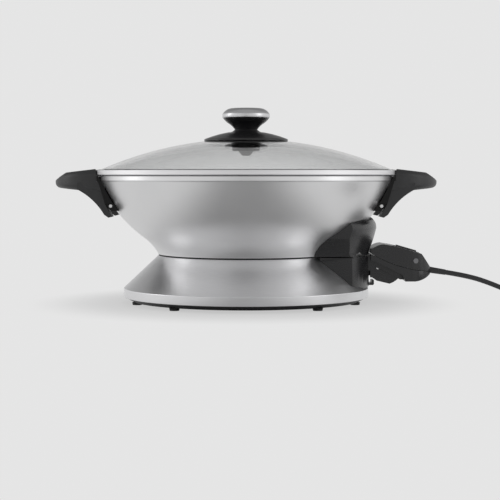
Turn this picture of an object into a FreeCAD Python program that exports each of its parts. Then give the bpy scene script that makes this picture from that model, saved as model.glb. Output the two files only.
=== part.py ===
import FreeCAD, Part
import math
import os
import re

import Sketcher
from FreeCAD import Placement, Rotation, Vector

# Electric wok: a die-cast bowl with two loop handles stands on a conical steel base, under a domed
# glass lid. A heat control with a dial plugs into the bowl's socket on the +X side.
# The origin is on the floor under the bowl's axis, +Z is up, and the handles lie along X.
# Lengths are in millimetres and angles in degrees.

doc = FreeCAD.newDocument("electric_wok")

# Driving dimensions, one group for each sub-assembly
SIZES = {
    # Clearances: of a pin in its bore, and of curved faces that sit on one another
    "fit_play": 0.05,
    "seat_gap": 0.3,
    # Base
    "foot_height": 3.0,
    "foot_radius": 6.0,
    "foot_taper": 0.6,
    "foot_inset": 13.6,
    "foot_angle_side": 15.0,
    "foot_angle_front": 52.5,
    "pan_wall": 2.5,
    "pan_chamfer": 9.0,
    "pan_rise": 5.0,
    "pan_rim": 4.0,
    "vent_count": 18,
    "vent_inset": 22.0,
    "vent_length": 24.0,
    "vent_width": 4.0,
    "skirt_inset": 30.4,
    "skirt_wall": 1.5,
    "lip_height": 10.6,
    "lip_step": 0.4,
    "seat_height": 57.2,
    "cone_top_inset": 70.4,
    "cone_top_drop": 1.3,
    "spigot_height": 3.0,
    "spigot_gap": 0.6,
    "shield_wall": 1.0,
    "shield_depth": 19.0,
    "shield_step": 18.0,
    "shield_brim": 12.0,
    "shield_edge": 5.0,
    "post_inset": 8.6,
    "post_radius": 3.6,
    "post_angle": 45.0,
    "base_screw_radius": 1.5,
    "base_screw_head": 3.6,
    "base_screw_rise": 1.6,
    "base_screw_length": 14.0,
    # Bowl
    "waist_rise": 2.51635,
    "rim_radius": 177.0,
    "rim_width": 5.0,
    "rim_chamfer": 0.8,
    "band_height": 6.2,
    "band_step": 1.6,
    "bowl_wall": 4.0,
    "slope_top": 68.0,
    "slope_mid": 36.0,
    "slope_waist": 60.0,
    "wall_bend": 155.0,
    "waist_bend": 61.0,
    "floor_bend": 95.0,
    "floor_wall": 6.8,
    "heater_inset": 91.0,
    "groove_rise": 6.0,
    "foot_ring_width": 5.8,
    "element_radius": 4.0,
    "element_inset": 11.0,
    "element_turn": 16.0,
    "terminal_spacing": 25.4,
    "well_wall": 1.0,
    "well_reach": 40.0,
    "block_gap": 1.4,
    "block_thick": 7.0,
    "block_width": 39.0,
    "block_height": 15.0,
    "pin_radius": 2.5,
    "pin_reach": 24.0,
    "pin_point": 1.5,
    # Socket hood on the bowl and trough on the base
    "hood_inset": 136.4,
    "hood_round": 106.8,
    "hood_gap": 1.2,
    "hood_face_height": 4.0,
    "hood_bulge": 9.0,
    "hood_bulge_height": 31.6,
    "hood_face_bend": 160.0,
    "hood_nose_bend": 14.0,
    "hood_rise": 46.6,
    "hood_crown_fall": 6.3,
    "hood_crown_bend": 540.0,
    "hood_side_height": 21.6,
    "hood_half": 82.0,
    "hood_half_low": 70.0,
    "hood_inner": 15.0,
    "notch_start": 20.5,
    "notch_length": 12.0,
    "notch_bend": 6.4,
    "trough_half": 68.0,
    "trough_lift": 1.9,
    "trough_wall": 2.6,
    "window_start": 10.0,
    "catch_width": 24.0,
    "catch_lift": 1.0,
    "catch_root": 6.0,
    "catch_reach": 5.6,
    "catch_height": 6.0,
    "catch_wall": 2.4,
    # Handles, measured from the rim
    "grip_round": 52.0,
    "grip_bar": 22.0,
    "grip_root": 12.0,
    "grip_top": 2.3,
    "grip_top_rise": 7.2,
    "grip_low": 13.7,
    "grip_low_fall": 6.0,
    "grip_edge_top": 7.5,
    "grip_edge_low": 6.5,
    "opening_edge": 3.0,
    "lid_gap": 1.4,
    "rim_gap_height": 7.0,
    "leg_place": 40.5,
    "leg_width": 19.0,
    "leg_join": 21.0,
    "leg_join_drop": 15.6,
    "leg_bend": 78.0,
    "leg_heel": 11.0,
    "leg_heel_drop": 45.5,
    "leg_low": 16.0,
    "leg_low_drop": 48.9,
    "leg_toe": 20.8,
    "leg_toe_drop": 47.7,
    "leg_throat": 17.8,
    "leg_throat_drop": 43.1,
    "leg_bend_in": 12.6,
    "leg_bend_in_drop": 34.1,
    "leg_shoulder": 6.0,
    "leg_shoulder_drop": 5.1,
    "bracket_width": 15.0,
    "bracket_low_drop": 41.0,
    "bracket_top_drop": 18.0,
    "bracket_depth": 34.0,
    "handle_screw_in": 18.4,
    "handle_screw_drop": 35.3,
    "handle_screw_radius": 1.5,
    "handle_screw_head": 2.7,
    "handle_screw_rise": 1.4,
    "handle_screw_length": 9.0,
    # Lid
    "lid_overhang": 4.0,
    "lid_band": 5.7,
    "lid_lift": 1.2,
    "lid_ledge": 2.9,
    "lid_chamfer": 0.7,
    "lid_seat": 2.2,
    "lid_skirt_depth": 5.0,
    "lid_skirt_wall": 1.2,
    "lid_play": 2.0,
    "glass_inset": 6.3,
    "glass_play": 0.2,
    "glass_wall": 4.0,
    "dome_bend": 430.0,
    "dome_rise": 0.51209,
    "glass_hole": 5.0,
    "flange_radius": 50.4,
    "flange_edge": 2.6,
    "flange_top_radius": 22.4,
    "flange_rise": 7.8,
    "flange_bend": 140.0,
    "neck_radius": 13.6,
    "neck_rise": 3.6,
    "neck_bend": 10.0,
    "stem_radius": 27.6,
    "stem_rise": 17.1,
    "cap_radius": 28.5,
    "cap_side": 5.0,
    "cap_rise": 12.1,
    "cap_flat": 17.0,
    "cap_bend": 14.0,
    "cap_chamfer": 0.8,
    "boss_radius": 17.0,
    "boss_height": 6.4,
    "washer_height": 1.8,
    "disc_height": 1.8,
    "nut_radius": 9.6,
    "nut_height": 5.8,
    "nut_flat": 4.8,
    "bolt_radius": 2.5,
    # Heat control: lengths run out from the socket's face, heights from the plug's axis
    "plug_gap": 0.8,
    "nose_width": 40.0,
    "nose_height": 17.6,
    "nose_cover": 4.2,
    "nose_length": 29.2,
    "nose_play": 1.0,
    "rod_radius": 2.75,
    "rod_reach": 64.0,
    "rod_root": 20.0,
    "rod_play": 0.3,
    "sleeve_wall": 1.2,
    "sleeve_play": 0.3,
    "sleeve_length": 22.0,
    "shell_half": 25.0,
    "shell_side": 50.0,
    "tail_half": 9.0,
    "tail_bend": 30.0,
    "front_rise": 11.0,
    "brow_place": 15.0,
    "brow_rise": 18.1,
    "brow_bend": 22.0,
    "dial_near": 26.9,
    "dial_near_rise": 16.2,
    "dial_tilt": 16.1,
    "dial_face": 35.4,
    "tail_place": 72.0,
    "tail_top_fall": 9.3,
    "seam_rise": 7.2,
    "seam_fall": 14.4,
    "seam_bend": 160.0,
    "seam_gap": 0.5,
    "belly_fall": 26.2,
    "belly_start": 41.0,
    "belly_end": 53.0,
    "belly_tail_fall": 18.1,
    "belly_bend": 34.0,
    "dial_radius": 17.0,
    "dial_thick": 4.6,
    "dial_play": 0.5,
    "dial_rise": 0.5,
    "dial_lift": 0.3,
    "dial_bar_width": 7.0,
    "dial_bar_height": 1.4,
    "dial_dish": 13.5,
    "dial_rim_height": 0.8,
    "shaft_radius": 3.0,
    "shaft_length": 7.0,
    "shaft_play": 0.08,
    "lens_place": 53.4,
    "lens_fall": 1.6,
    "lens_radius": 3.0,
    "lens_depth": 3.0,
    "lens_rise": 0.7,
    "cavity_start": 39.0,
    "cavity_length": 16.0,
    "cavity_width": 22.0,
    "cavity_low_fall": 17.0,
    "cavity_top_fall": 2.0,
    "switch_height": 11.0,
    "switch_play": 1.0,
    "probe_screw_place": 44.0,
    "probe_screw_side": 15.0,
    "probe_screw_radius": 1.3,
    "probe_screw_head": 2.6,
    "probe_screw_rise": 1.4,
    "probe_screw_sink": 1.8,
    "probe_screw_length": 20.0,
    "pivot_place": 9.0,
    "pivot_fall": 10.6,
    "pivot_radius": 1.6,
    "pivot_play": 0.08,
    "lug_width": 8.0,
    "lug_radius": 4.0,
    "lug_play": 0.6,
    "lug_rise": 9.0,
    "trigger_width": 30.0,
    "heel_place": 2.2,
    "heel_top_fall": 5.9,
    "heel_low_fall": 22.0,
    "throat_place": 7.6,
    "throat_fall": 25.8,
    "trigger_belly": 23.0,
    "trigger_belly_fall": 29.5,
    "tip_place": 33.6,
    "tip_fall": 22.8,
    "tip_bend": 12.0,
    "trigger_back": 28.2,
    "trigger_back_fall": 19.4,
    "recess_place": 37.0,
    "recess_fall": 18.0,
    "recess_front_fall": 1.5,
    "recess_lip": 3.0,
    # Cord and plug
    "cord_radius": 3.0,
    "cord_tilt": 9.0,
    "relief_root": 6.0,
    "relief_fall": 12.7,
    "relief_length": 26.0,
    "relief_radius": 3.9,
    "relief_end_radius": 3.3,
    "coil_place_x": 340.0,
    "coil_place_y": -90.0,
    "coil_outer": 41.0,
    "coil_pitch": 7.4,
    "coil_rise": 7.0,
    "coil_turns": 2,
    "coil_tail": 10.0,
    "floor_clearance": 0.3,
    "plug_relief": 24.0,
    "plug_relief_radius": 4.6,
    "plug_length": 30.0,
    "plug_width": 24.0,
    "plug_height": 20.0,
    "plug_edge": 4.0,
    "blade_length": 17.0,
    "blade_height": 6.3,
    "blade_thick": 1.5,
    "blade_spacing": 12.7,
}

# Sizes that follow others, so that the sub-parts keep together when one of them changes
FOLLOWING = {
    "skirt_radius": "rim_radius - skirt_inset",
    "cone_top_radius": "rim_radius - cone_top_inset",
    "foot_circle": "skirt_radius - foot_inset",
    "post_circle": "cone_top_radius - post_inset",
    "shield_floor_radius": "post_circle - shield_step",
    "vent_inner": "shield_floor_radius - vent_inset",
    "heater_radius": "rim_radius - heater_inset",
    "element_circle": "heater_radius - element_inset",
    "well_start": "heater_radius - well_reach",
    "hood_axis": "rim_radius - hood_inset",
    "waist_height": "seat_height + waist_rise",
    "middle_height": "waist_height + waist_bend * (cos(slope_mid) - cos(slope_waist))",
    "rim_height": "middle_height + wall_bend * (cos(slope_mid) - cos(slope_top)) + band_height",
    "lid_radius": "rim_radius + lid_overhang",
    "glass_radius": "lid_radius - glass_inset",
    "dome_edge": "rim_height + lid_lift + lid_band + dome_rise",
    "dome_apex": "dome_edge + dome_bend - sqrt(dome_bend^2 - glass_radius^2)",
}

sheet = doc.addObject("Spreadsheet::Sheet", "Sizes")
for row, (alias, size) in enumerate({**SIZES, **FOLLOWING}.items(), start=1):
    sheet.set(f"A{row}", alias)
    sheet.set(f"B{row}", str(size) if alias in SIZES else "=" + size)
    sheet.setAlias(f"B{row}", alias)
doc.recompute()

# Every alias has an underscore, so an expression's aliases are told from its functions
ALIAS = re.compile(r"\b[a-z]+(?:_[a-z]+)+\b")


def value(text):
    """The number that an expression of the sheet's aliases gives."""
    result = sheet.evalExpression(str(text))
    return float(getattr(result, "Value", result))


def bind(item, prop, text):
    """Ties a property of an object to an expression of the sheet's aliases."""
    item.setExpression(prop, ALIAS.sub(lambda word: "Sizes." + word.group(0), str(text)))


def place(item, x=0, y=0, z=0, prefix="Placement"):
    """Ties an object's position, or a sketch's offset, to expressions."""
    for axis, text in (("x", x), ("y", y), ("z", z)):
        bind(item, f"{prefix}.Base.{axis}", text)


nodes = {}


def keep(label, item):
    """Marks an object as a finished sub-part, whose label names its file."""
    item.Label = label
    nodes[label] = item
    return item


# Sketches and features

def sketch_on(body, name, plane):
    """An empty sketch on one of the body's own origin planes."""
    sketch = body.newObject("Sketcher::SketchObject", name)
    role = plane + "_Plane"
    support = [item for item in body.Origin.OriginFeatures if item.Role == role][0]
    sketch.AttachmentSupport = [(support, "")]
    sketch.MapMode = "FlatFace"
    return sketch


def arc_between(start, end, radius):
    """The shorter arc between two points; a negative radius puts its centre on the way's right."""
    chord = end - start
    half = chord.Length / 2
    left = Vector(-chord.y, chord.x, 0).normalize()
    rise = math.sqrt(max(radius * radius - half * half, 0))
    centre = (start + end) / 2 + left * math.copysign(rise, radius)
    first, last = (start, end) if radius > 0 else (end, start)
    angles = [math.atan2(p.y - centre.y, p.x - centre.x) for p in (first, last)]
    circle = Part.Circle(centre, Vector(0, 0, 1), abs(radius))
    return Part.ArcOfCircle(circle, angles[0], angles[1])


def add_loop(sketch, corners):
    """Adds a closed outline. A corner is (across, up) or (across, up, bend), where bend is the
    radius of the arc to the next corner, negative where the arc's centre is on the way's right."""
    points = [Vector(value(corner[0]), value(corner[1]), 0) for corner in corners]
    sides = []
    for i, corner in enumerate(corners):
        start, end = points[i], points[(i + 1) % len(points)]
        if len(corner) == 2:
            side = sketch.addGeometry(Part.LineSegment(start, end), False)
            sides.append((side, 1, 2))
            continue
        radius = value(corner[2])
        side = sketch.addGeometry(arc_between(start, end, radius), False)
        sides.append((side, 1, 2) if radius > 0 else (side, 2, 1))
    for i, (side, first, last) in enumerate(sides):
        following = sides[(i + 1) % len(sides)]
        sketch.addConstraint(Sketcher.Constraint("Coincident", side, last, following[0], following[1]))
    for corner, point, (side, first, last) in zip(corners, points, sides):
        for kind, number, text in (("DistanceX", point.x, corner[0]), ("DistanceY", point.y, corner[1])):
            index = sketch.addConstraint(Sketcher.Constraint(kind, -1, 1, side, first, number))
            bind(sketch, f"Constraints[{index}]", text)
        if len(corner) == 3:
            radius = value(corner[2])
            index = sketch.addConstraint(Sketcher.Constraint("Radius", side, abs(radius)))
            bind(sketch, f"Constraints[{index}]", f"abs({corner[2]})")


def outline(body, name, plane, *loops):
    """A sketch of one or more closed outlines."""
    sketch = sketch_on(body, name, plane)
    for corners in loops:
        add_loop(sketch, corners)
    return sketch


def circles(body, name, plane, discs):
    """A sketch of circles, each given as (across, up, radius)."""
    sketch = sketch_on(body, name, plane)
    for across, up, radius in discs:
        centre = Vector(value(across), value(up), 0)
        side = sketch.addGeometry(Part.Circle(centre, Vector(0, 0, 1), value(radius)), False)
        for kind, number, text in (("DistanceX", centre.x, across), ("DistanceY", centre.y, up)):
            index = sketch.addConstraint(Sketcher.Constraint(kind, -1, 1, side, 3, number))
            bind(sketch, f"Constraints[{index}]", text)
        index = sketch.addConstraint(Sketcher.Constraint("Radius", side, value(radius)))
        bind(sketch, f"Constraints[{index}]", radius)
    return sketch


def rectangle(left, low, right, high):
    """The corners of a rectangle."""
    return [(left, low), (right, low), (right, high), (left, high)]


def new_body(label):
    return keep(label, doc.addObject("PartDesign::Body", label))


def feature(body, kind, name, sketch):
    item = body.newObject("PartDesign::" + kind, name)
    item.Profile = sketch
    return item


def pad(body, sketch, length, both_ways=False, turned_back=False):
    """Adds the sketch's area times a length, along or, where turned back, against its normal."""
    item = feature(body, "Pad", sketch.Label + "_pad", sketch)
    item.SideType = "Symmetric" if both_ways else "One side"
    item.Reversed = turned_back
    bind(item, "Length", length)
    doc.recompute()
    return item


def cut_check(body, before):
    """A cut that misses its solid shows no error, so the volume tells."""
    doc.recompute()
    if body.Shape.Volume > before - 1e-6:
        raise RuntimeError(f"{body.Label}: a cut took nothing away")


def pocket(body, sketch, length, both_ways=False, turned_back=False):
    """Takes away the sketch's area times a length, against or, turned back, along its normal."""
    before = body.Shape.Volume
    item = feature(body, "Pocket", sketch.Label + "_pocket", sketch)
    item.SideType = "Symmetric" if both_ways else "One side"
    item.Reversed = turned_back
    bind(item, "Length", length)
    cut_check(body, before)
    return item


def upright(body):
    """The body's own vertical axis."""
    return [item for item in body.Origin.OriginFeatures if item.Role == "Z_Axis"][0]


def turn(body, sketch, axis=None):
    """Revolves the sketch once round the body's vertical axis, or round a line of the sketch."""
    item = feature(body, "Revolution", sketch.Label + "_turn", sketch)
    item.ReferenceAxis = axis or (upright(body), [""])
    item.Angle = 360
    doc.recompute()
    return item


def turned(label, corners):
    """A sub-part that is one outline revolved round the vertical axis."""
    body = new_body(label)
    turn(body, outline(body, label + "_outline", "XZ", corners))
    return body


def groove(body, sketch):
    """Takes away the sketch revolved once round the body's vertical axis."""
    before = body.Shape.Volume
    item = feature(body, "Groove", sketch.Label + "_groove", sketch)
    item.ReferenceAxis = (upright(body), [""])
    item.Angle = 360
    cut_check(body, before)
    return item


def round_edges(body, radius, chosen):
    """Fillets the edges of the body whose points all pass a test."""
    base = body.Tip
    names = []
    for number, edge in enumerate(base.Shape.Edges, start=1):
        if all(chosen(point) for point in edge.discretize(7)):
            names.append(f"Edge{number}")
    item = body.newObject("PartDesign::Fillet", body.Label + "_fillet")
    item.Base = (base, names)
    bind(item, "Radius", radius)
    doc.recompute()
    return item


# Primitives and booleans

TO_AXIS = {
    "z": Rotation(),
    "x": Rotation(Vector(0, 0, 1), Vector(1, 0, 0)),
    "y": Rotation(Vector(0, 0, 1), Vector(0, 1, 0)),
}


def rod(name, radius, length, at, axis="z", end_radius=None):
    """A cylinder, or a cone where the end has a radius of its own."""
    if end_radius is None:
        item = doc.addObject("Part::Cylinder", name)
        bind(item, "Radius", radius)
    else:
        item = doc.addObject("Part::Cone", name)
        bind(item, "Radius1", radius)
        bind(item, "Radius2", end_radius)
    bind(item, "Height", length)
    item.Placement = Placement(Vector(), TO_AXIS[axis])
    place(item, *at)
    return item


def block(name, size, at):
    """A box from its lowest corner."""
    item = doc.addObject("Part::Box", name)
    for prop, text in zip(("Length", "Width", "Height"), size):
        bind(item, prop, text)
    place(item, *at)
    return item


def cut(name, base, tool):
    item = doc.addObject("Part::Cut", name)
    item.Base = base
    item.Tool = tool
    return item


def fuse(name, parts):
    item = doc.addObject("Part::MultiFuse", name)
    item.Shapes = parts
    return item


def group(name, parts):
    """Separate solids kept as one sub-part."""
    item = doc.addObject("Part::Compound", name)
    item.Links = parts
    return item


def screw(name, at, axis, radius, length, head_radius, head_rise, facing=1):
    """A pan-head screw: its head stands on the point, on the facing side, and its shank goes in."""
    x, y, z = at
    way = {"x": (1, 0, 0), "y": (0, 1, 0), "z": (0, 0, 1)}[axis]

    def along(distance):
        return [f"({text}) + ({distance}) * ({step * facing})" for text, step in zip((x, y, z), way)]

    back = f"-({length})" if facing > 0 else "0"
    shank = rod(name + "_shank", radius, length, along(back), axis)
    start = "0" if facing > 0 else head_rise
    ends = (head_radius, f"{head_radius} * 0.7") if facing > 0 else (f"{head_radius} * 0.7", head_radius)
    head = rod(name + "_head", ends[0], head_rise, along(start), axis, ends[1])
    return fuse(name, [shank, head])


# Heights and curves that several sub-parts share

BEYOND = "(rim_radius + 100)"
SKIRT_LOW = "(foot_height + pan_rise)"
LIP_TOP = f"({SKIRT_LOW} + lip_height)"
CONE_TOP = "(seat_height - cone_top_drop)"
CONE_LOW_X = "(skirt_radius - lip_step)"
FLANGE_LOW = "(seat_height - skirt_wall)"

LIP_X = "(rim_radius - band_step)"
LIP_Z = "(rim_height - band_height)"
MID_X = f"({LIP_X} - wall_bend * (sin(slope_top) - sin(slope_mid)))"
MID_Z = f"({LIP_Z} - wall_bend * (cos(slope_mid) - cos(slope_top)))"
WAIST_X = f"({MID_X} - waist_bend * (sin(slope_waist) - sin(slope_mid)))"
WAIST_Z = f"({MID_Z} - waist_bend * (cos(slope_mid) - cos(slope_waist)))"
INNER_MID_X = f"({MID_X} - bowl_wall * sin(slope_mid))"
INNER_MID_Z = f"({MID_Z} + bowl_wall * cos(slope_mid))"
FLOOR_X = f"({INNER_MID_X} - floor_bend * sin(slope_mid))"
FLOOR_Z = f"({INNER_MID_Z} - floor_bend * (1 - cos(slope_mid)))"
UNDER_Z = f"({FLOOR_Z} - floor_wall)"
RING_INNER = f"({WAIST_X} - foot_ring_width)"
SPIGOT_X = f"({RING_INNER} - spigot_gap)"
PLUG_Z = f"({UNDER_Z} - element_radius)"

HOOD_LOW = "(seat_height + hood_gap)"
HOOD_TOP = "(seat_height + hood_rise)"
SOCKET_X = "(hood_axis + hood_round)"
BLOCK_X = f"({WAIST_X} + block_gap)"
NOSE_TOP = f"({PLUG_Z} + nose_cover)"
NOSE_LOW = f"({NOSE_TOP} - nose_height)"
TROUGH_HALF = "(nose_width / 2 + nose_play)"
TROUGH_FLOOR = f"({NOSE_LOW} - nose_play)"
CHANNEL_HALF = f"({TROUGH_HALF} + trough_wall)"
CHANNEL_LOW = f"({TROUGH_FLOOR} - trough_wall)"
TROUGH_LOW = f"({LIP_TOP} + trough_lift)"

LID_LOW = "(rim_height + lid_lift)"
LID_TOP = f"({LID_LOW} + lid_band)"
GLASS_LOW = f"({LID_LOW} + lid_ledge)"


def bowl_room(top_radius, step_height):
    """The bowl's outer side with a gap round it and a wider top, for cutting what is fitted to it."""
    return [
        ("0", "seat_height - 1"),
        (f"{WAIST_X} + seat_gap", "seat_height - 1"),
        (f"{WAIST_X} + seat_gap", WAIST_Z, "-waist_bend"),
        (f"{MID_X} + seat_gap", MID_Z, "wall_bend"),
        (f"{LIP_X} + seat_gap", LIP_Z),
        (top_radius, step_height),
        (top_radius, BEYOND),
        ("0", BEYOND),
    ]


# Base

skirt = turned("base_skirt", [
    (f"{SPIGOT_X} - skirt_wall", FLANGE_LOW),
    ("cone_top_radius - skirt_wall", FLANGE_LOW),
    (f"{CONE_LOW_X} - skirt_wall", LIP_TOP),
    ("skirt_radius - skirt_wall", f"{LIP_TOP} - lip_step"),
    ("skirt_radius - skirt_wall", SKIRT_LOW),
    ("skirt_radius", SKIRT_LOW),
    ("skirt_radius", f"{LIP_TOP} - lip_step"),
    (CONE_LOW_X, LIP_TOP),
    ("cone_top_radius", CONE_TOP),
    ("cone_top_radius - cone_top_drop", "seat_height"),
    (SPIGOT_X, "seat_height"),
    (SPIGOT_X, "seat_height + spigot_height"),
    (f"{SPIGOT_X} - skirt_wall", "seat_height + spigot_height"),
])


def cut_window(body, start, low):
    """Opens a base part, from a height up, for the socket's trough."""
    window = rectangle(start, f"-{CHANNEL_HALF}", BEYOND, CHANNEL_HALF)
    sketch = outline(body, body.Label + "_window", "XY", window)
    place(sketch, z=low, prefix="AttachmentOffset")
    pocket(body, sketch, BEYOND, turned_back=True)


cut_window(skirt, f"{SPIGOT_X} - window_start", CHANNEL_LOW)

shield = turned("heat_shield", [
    ("0", f"{FLANGE_LOW} - shield_wall - shield_depth"),
    ("shield_floor_radius", f"{FLANGE_LOW} - shield_wall - shield_depth"),
    ("post_circle + shield_edge - shield_brim", f"{FLANGE_LOW} - shield_wall"),
    ("post_circle + shield_edge", f"{FLANGE_LOW} - shield_wall"),
    ("post_circle + shield_edge", FLANGE_LOW),
    ("post_circle + shield_edge - shield_brim - shield_wall", FLANGE_LOW),
    ("shield_floor_radius - shield_wall", f"{FLANGE_LOW} - shield_depth"),
    ("0", f"{FLANGE_LOW} - shield_depth"),
])
cut_window(shield, "shield_floor_radius - shield_wall * 3", "foot_height")

PAN_X = "(skirt_radius - skirt_wall)"
pan = turned("base_pan", [
    ("0", "foot_height"),
    (f"{PAN_X} - pan_chamfer", "foot_height"),
    (PAN_X, SKIRT_LOW),
    (PAN_X, f"{SKIRT_LOW} + pan_rim"),
    (f"{PAN_X} - pan_wall", f"{SKIRT_LOW} + pan_rim"),
    (f"{PAN_X} - pan_wall", f"{SKIRT_LOW} + pan_wall / 2"),
    (f"{PAN_X} - pan_chamfer - pan_wall / 4", "foot_height + pan_wall"),
    ("0", "foot_height + pan_wall"),
])
post_spots = [
    (f"post_circle * cos(post_angle) * {across}", f"post_circle * sin(post_angle) * {along}")
    for across in (1, -1)
    for along in (1, -1)
]
holes = circles(pan, "base_pan_holes", "XY", [(x, y, "base_screw_radius + fit_play") for x, y in post_spots])
pocket(pan, holes, "foot_height + pan_wall * 2", turned_back=True)
vent = outline(pan, "base_pan_vent", "XY", rectangle(
    "vent_inner", "-vent_width / 2", "vent_inner + vent_length", "vent_width / 2"))
vents = pan.newObject("PartDesign::PolarPattern", "base_pan_vents")
vents.Originals = [pocket(pan, vent, "foot_height + pan_wall * 2", turned_back=True)]
vents.Axis = (upright(pan), [""])
vents.Angle = 360
bind(vents, "Occurrences", "vent_count")
pan.Tip = vents

feet = []
for angle in ("foot_angle_side", "foot_angle_front"):
    for across in (1, -1):
        for along in (1, -1):
            spot = (f"foot_circle * cos({angle}) * {across}", f"foot_circle * sin({angle}) * {along}", "0")
            feet.append(rod("foot", "foot_radius - foot_taper", "foot_height", spot, "z", "foot_radius"))
keep("feet", group("feet_group", feet))

PAN_TOP = "(foot_height + pan_wall)"
posts = []
base_screws = []
for x, y in post_spots:
    height = f"{FLANGE_LOW} - shield_wall - {PAN_TOP}"
    post = rod("post", "post_radius", height, (x, y, PAN_TOP))
    bore = rod("post_bore", "base_screw_radius + fit_play", "base_screw_length", (x, y, PAN_TOP))
    posts.append(cut("bored_post", post, bore))
    base_screws.append(screw("base_screw", (x, y, "foot_height"), "z", "base_screw_radius",
                             "base_screw_length", "base_screw_head", "base_screw_rise", -1))
keep("base_posts", group("posts_group", posts))
keep("base_screws", group("base_screws_group", base_screws))


# Socket trough on the base, open upward and outward for the heat control's nose

trough = new_body("socket_trough")
TROUGH_X = "(hood_axis + sqrt(hood_round^2 - trough_half^2))"
trough_plan = outline(trough, "trough_plan", "XY", [
    ("cone_top_radius * 0.8", "-trough_half"),
    (TROUGH_X, "-trough_half", "hood_round"),
    (TROUGH_X, "trough_half"),
    ("cone_top_radius * 0.8", "trough_half"),
])
place(trough_plan, z=TROUGH_LOW, prefix="AttachmentOffset")
pad(trough, trough_plan, f"seat_height - {TROUGH_LOW}")
CATCH_Z = f"({TROUGH_LOW} + catch_lift)"
CATCH_X = f"({SOCKET_X} + catch_reach)"
catch = outline(trough, "trough_catch", "XZ", [
    (f"{SOCKET_X} - catch_root", CATCH_Z),
    (f"{CATCH_X} - catch_wall / 2", CATCH_Z),
    (CATCH_X, f"{CATCH_Z} + catch_wall / 2"),
    (CATCH_X, f"{CATCH_Z} + catch_height"),
    (f"{CATCH_X} - catch_wall", f"{CATCH_Z} + catch_height"),
    (f"{CATCH_X} - catch_wall", f"{CATCH_Z} + catch_wall"),
    (f"{SOCKET_X} - catch_root", f"{CATCH_Z} + catch_wall"),
])
pad(trough, catch, "catch_width", both_ways=True)
groove(trough, outline(trough, "trough_seat", "XZ", [
    ("0", SKIRT_LOW),
    ("skirt_radius + seat_gap", SKIRT_LOW),
    ("skirt_radius + seat_gap", f"{LIP_TOP} - lip_step"),
    (f"{CONE_LOW_X} + seat_gap", LIP_TOP),
    ("cone_top_radius + seat_gap", CONE_TOP),
    ("cone_top_radius - cone_top_drop + seat_gap", "seat_height"),
    ("cone_top_radius - cone_top_drop + seat_gap", "seat_height + 1"),
    ("0", "seat_height + 1"),
]))
channel = outline(trough, "trough_channel", "XY", rectangle(
    SPIGOT_X, f"-{CHANNEL_HALF}", f"{SOCKET_X} - catch_root", CHANNEL_HALF))
place(channel, z=CHANNEL_LOW, prefix="AttachmentOffset")
pad(trough, channel, f"seat_height - {CHANNEL_LOW}")
hollow = outline(trough, "trough_hollow", "XY", rectangle(
    "0", f"-{TROUGH_HALF}", BEYOND, TROUGH_HALF))
place(hollow, z=TROUGH_FLOOR, prefix="AttachmentOffset")
pocket(trough, hollow, BEYOND, turned_back=True)


# Bowl

turned("bowl", [
    ("0", UNDER_Z),
    ("heater_radius", UNDER_Z),
    ("heater_radius + groove_rise / 2", f"{UNDER_Z} + groove_rise"),
    (RING_INNER, f"{UNDER_Z} + groove_rise"),
    (RING_INNER, "seat_height"),
    (WAIST_X, "seat_height"),
    (WAIST_X, WAIST_Z, "-waist_bend"),
    (MID_X, MID_Z, "wall_bend"),
    (LIP_X, LIP_Z),
    ("rim_radius", f"{LIP_Z} + band_step / 2"),
    ("rim_radius", "rim_height - rim_chamfer"),
    ("rim_radius - rim_chamfer", "rim_height"),
    ("rim_radius - rim_width", "rim_height"),
    (f"{LIP_X} - bowl_wall * sin(slope_top)", f"{LIP_Z} + bowl_wall * cos(slope_top)",
     "-(wall_bend - bowl_wall)"),
    (INNER_MID_X, INNER_MID_Z, "-floor_bend"),
    (FLOOR_X, FLOOR_Z),
    ("0", FLOOR_Z),
])


def tube(label, points, edges, radius):
    """A round tube along edges that meet smoothly; the first edge starts at the first point."""
    start = points[0]
    way = (points[1] - points[0]).normalize()
    ring = Part.Wire(Part.Circle(start, way, radius).toShape())
    solid = Part.Wire(edges).makePipeShell([ring], True, False)
    item = doc.addObject("Part::Feature", label)
    item.Shape = solid
    path = sum(edge.Length for edge in edges)
    drift = solid.Volume / (math.pi * radius * radius * path) - 1
    print(f"{label}: path {path:.1f} mm, volume {100 * drift:+.2f}% of section times length")
    return keep(label, item)


def element_tube():
    """The heating element: one open ring pressed under the bowl, with two ends side by side."""
    height = value(PLUG_Z)
    side = value("terminal_spacing") / 2
    bend = value("element_turn")
    ring = value("element_circle")
    end_x = value(BLOCK_X)
    across = math.sqrt((ring + bend) ** 2 - (side + bend) ** 2)
    angle = math.atan2(side + bend, across)
    middle = (math.pi * 1.5 + math.pi + angle) / 2

    def point(x, y):
        return Vector(x, y, height)

    def bend_arc(sign):
        turn_middle = point(across + bend * math.cos(middle), sign * (side + bend + bend * math.sin(middle)))
        joint = point(ring * math.cos(angle), sign * ring * math.sin(angle))
        return point(across, sign * side), turn_middle, joint

    first = bend_arc(1)
    last = bend_arc(-1)
    start = point(end_x, side)
    edges = [
        Part.LineSegment(start, first[0]).toShape(),
        Part.Arc(*first).toShape(),
        Part.Arc(first[2], point(-ring, 0), last[2]).toShape(),
        Part.Arc(last[2], last[1], last[0]).toShape(),
        Part.LineSegment(last[0], point(end_x, -side)).toShape(),
    ]
    return tube("heating_element", [start, first[0]], edges, value("element_radius"))


element_tube()

well = rod("well_tube", "element_radius", f"{BLOCK_X} - well_start",
           ("well_start", 0, PLUG_Z), "x")
well_bore = rod("well_bore", "rod_radius + rod_play", f"{BLOCK_X} - well_start",
                ("well_start + well_wall * 2", 0, PLUG_Z), "x")
keep("sensor_well", cut("bored_well", well, well_bore))

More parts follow.
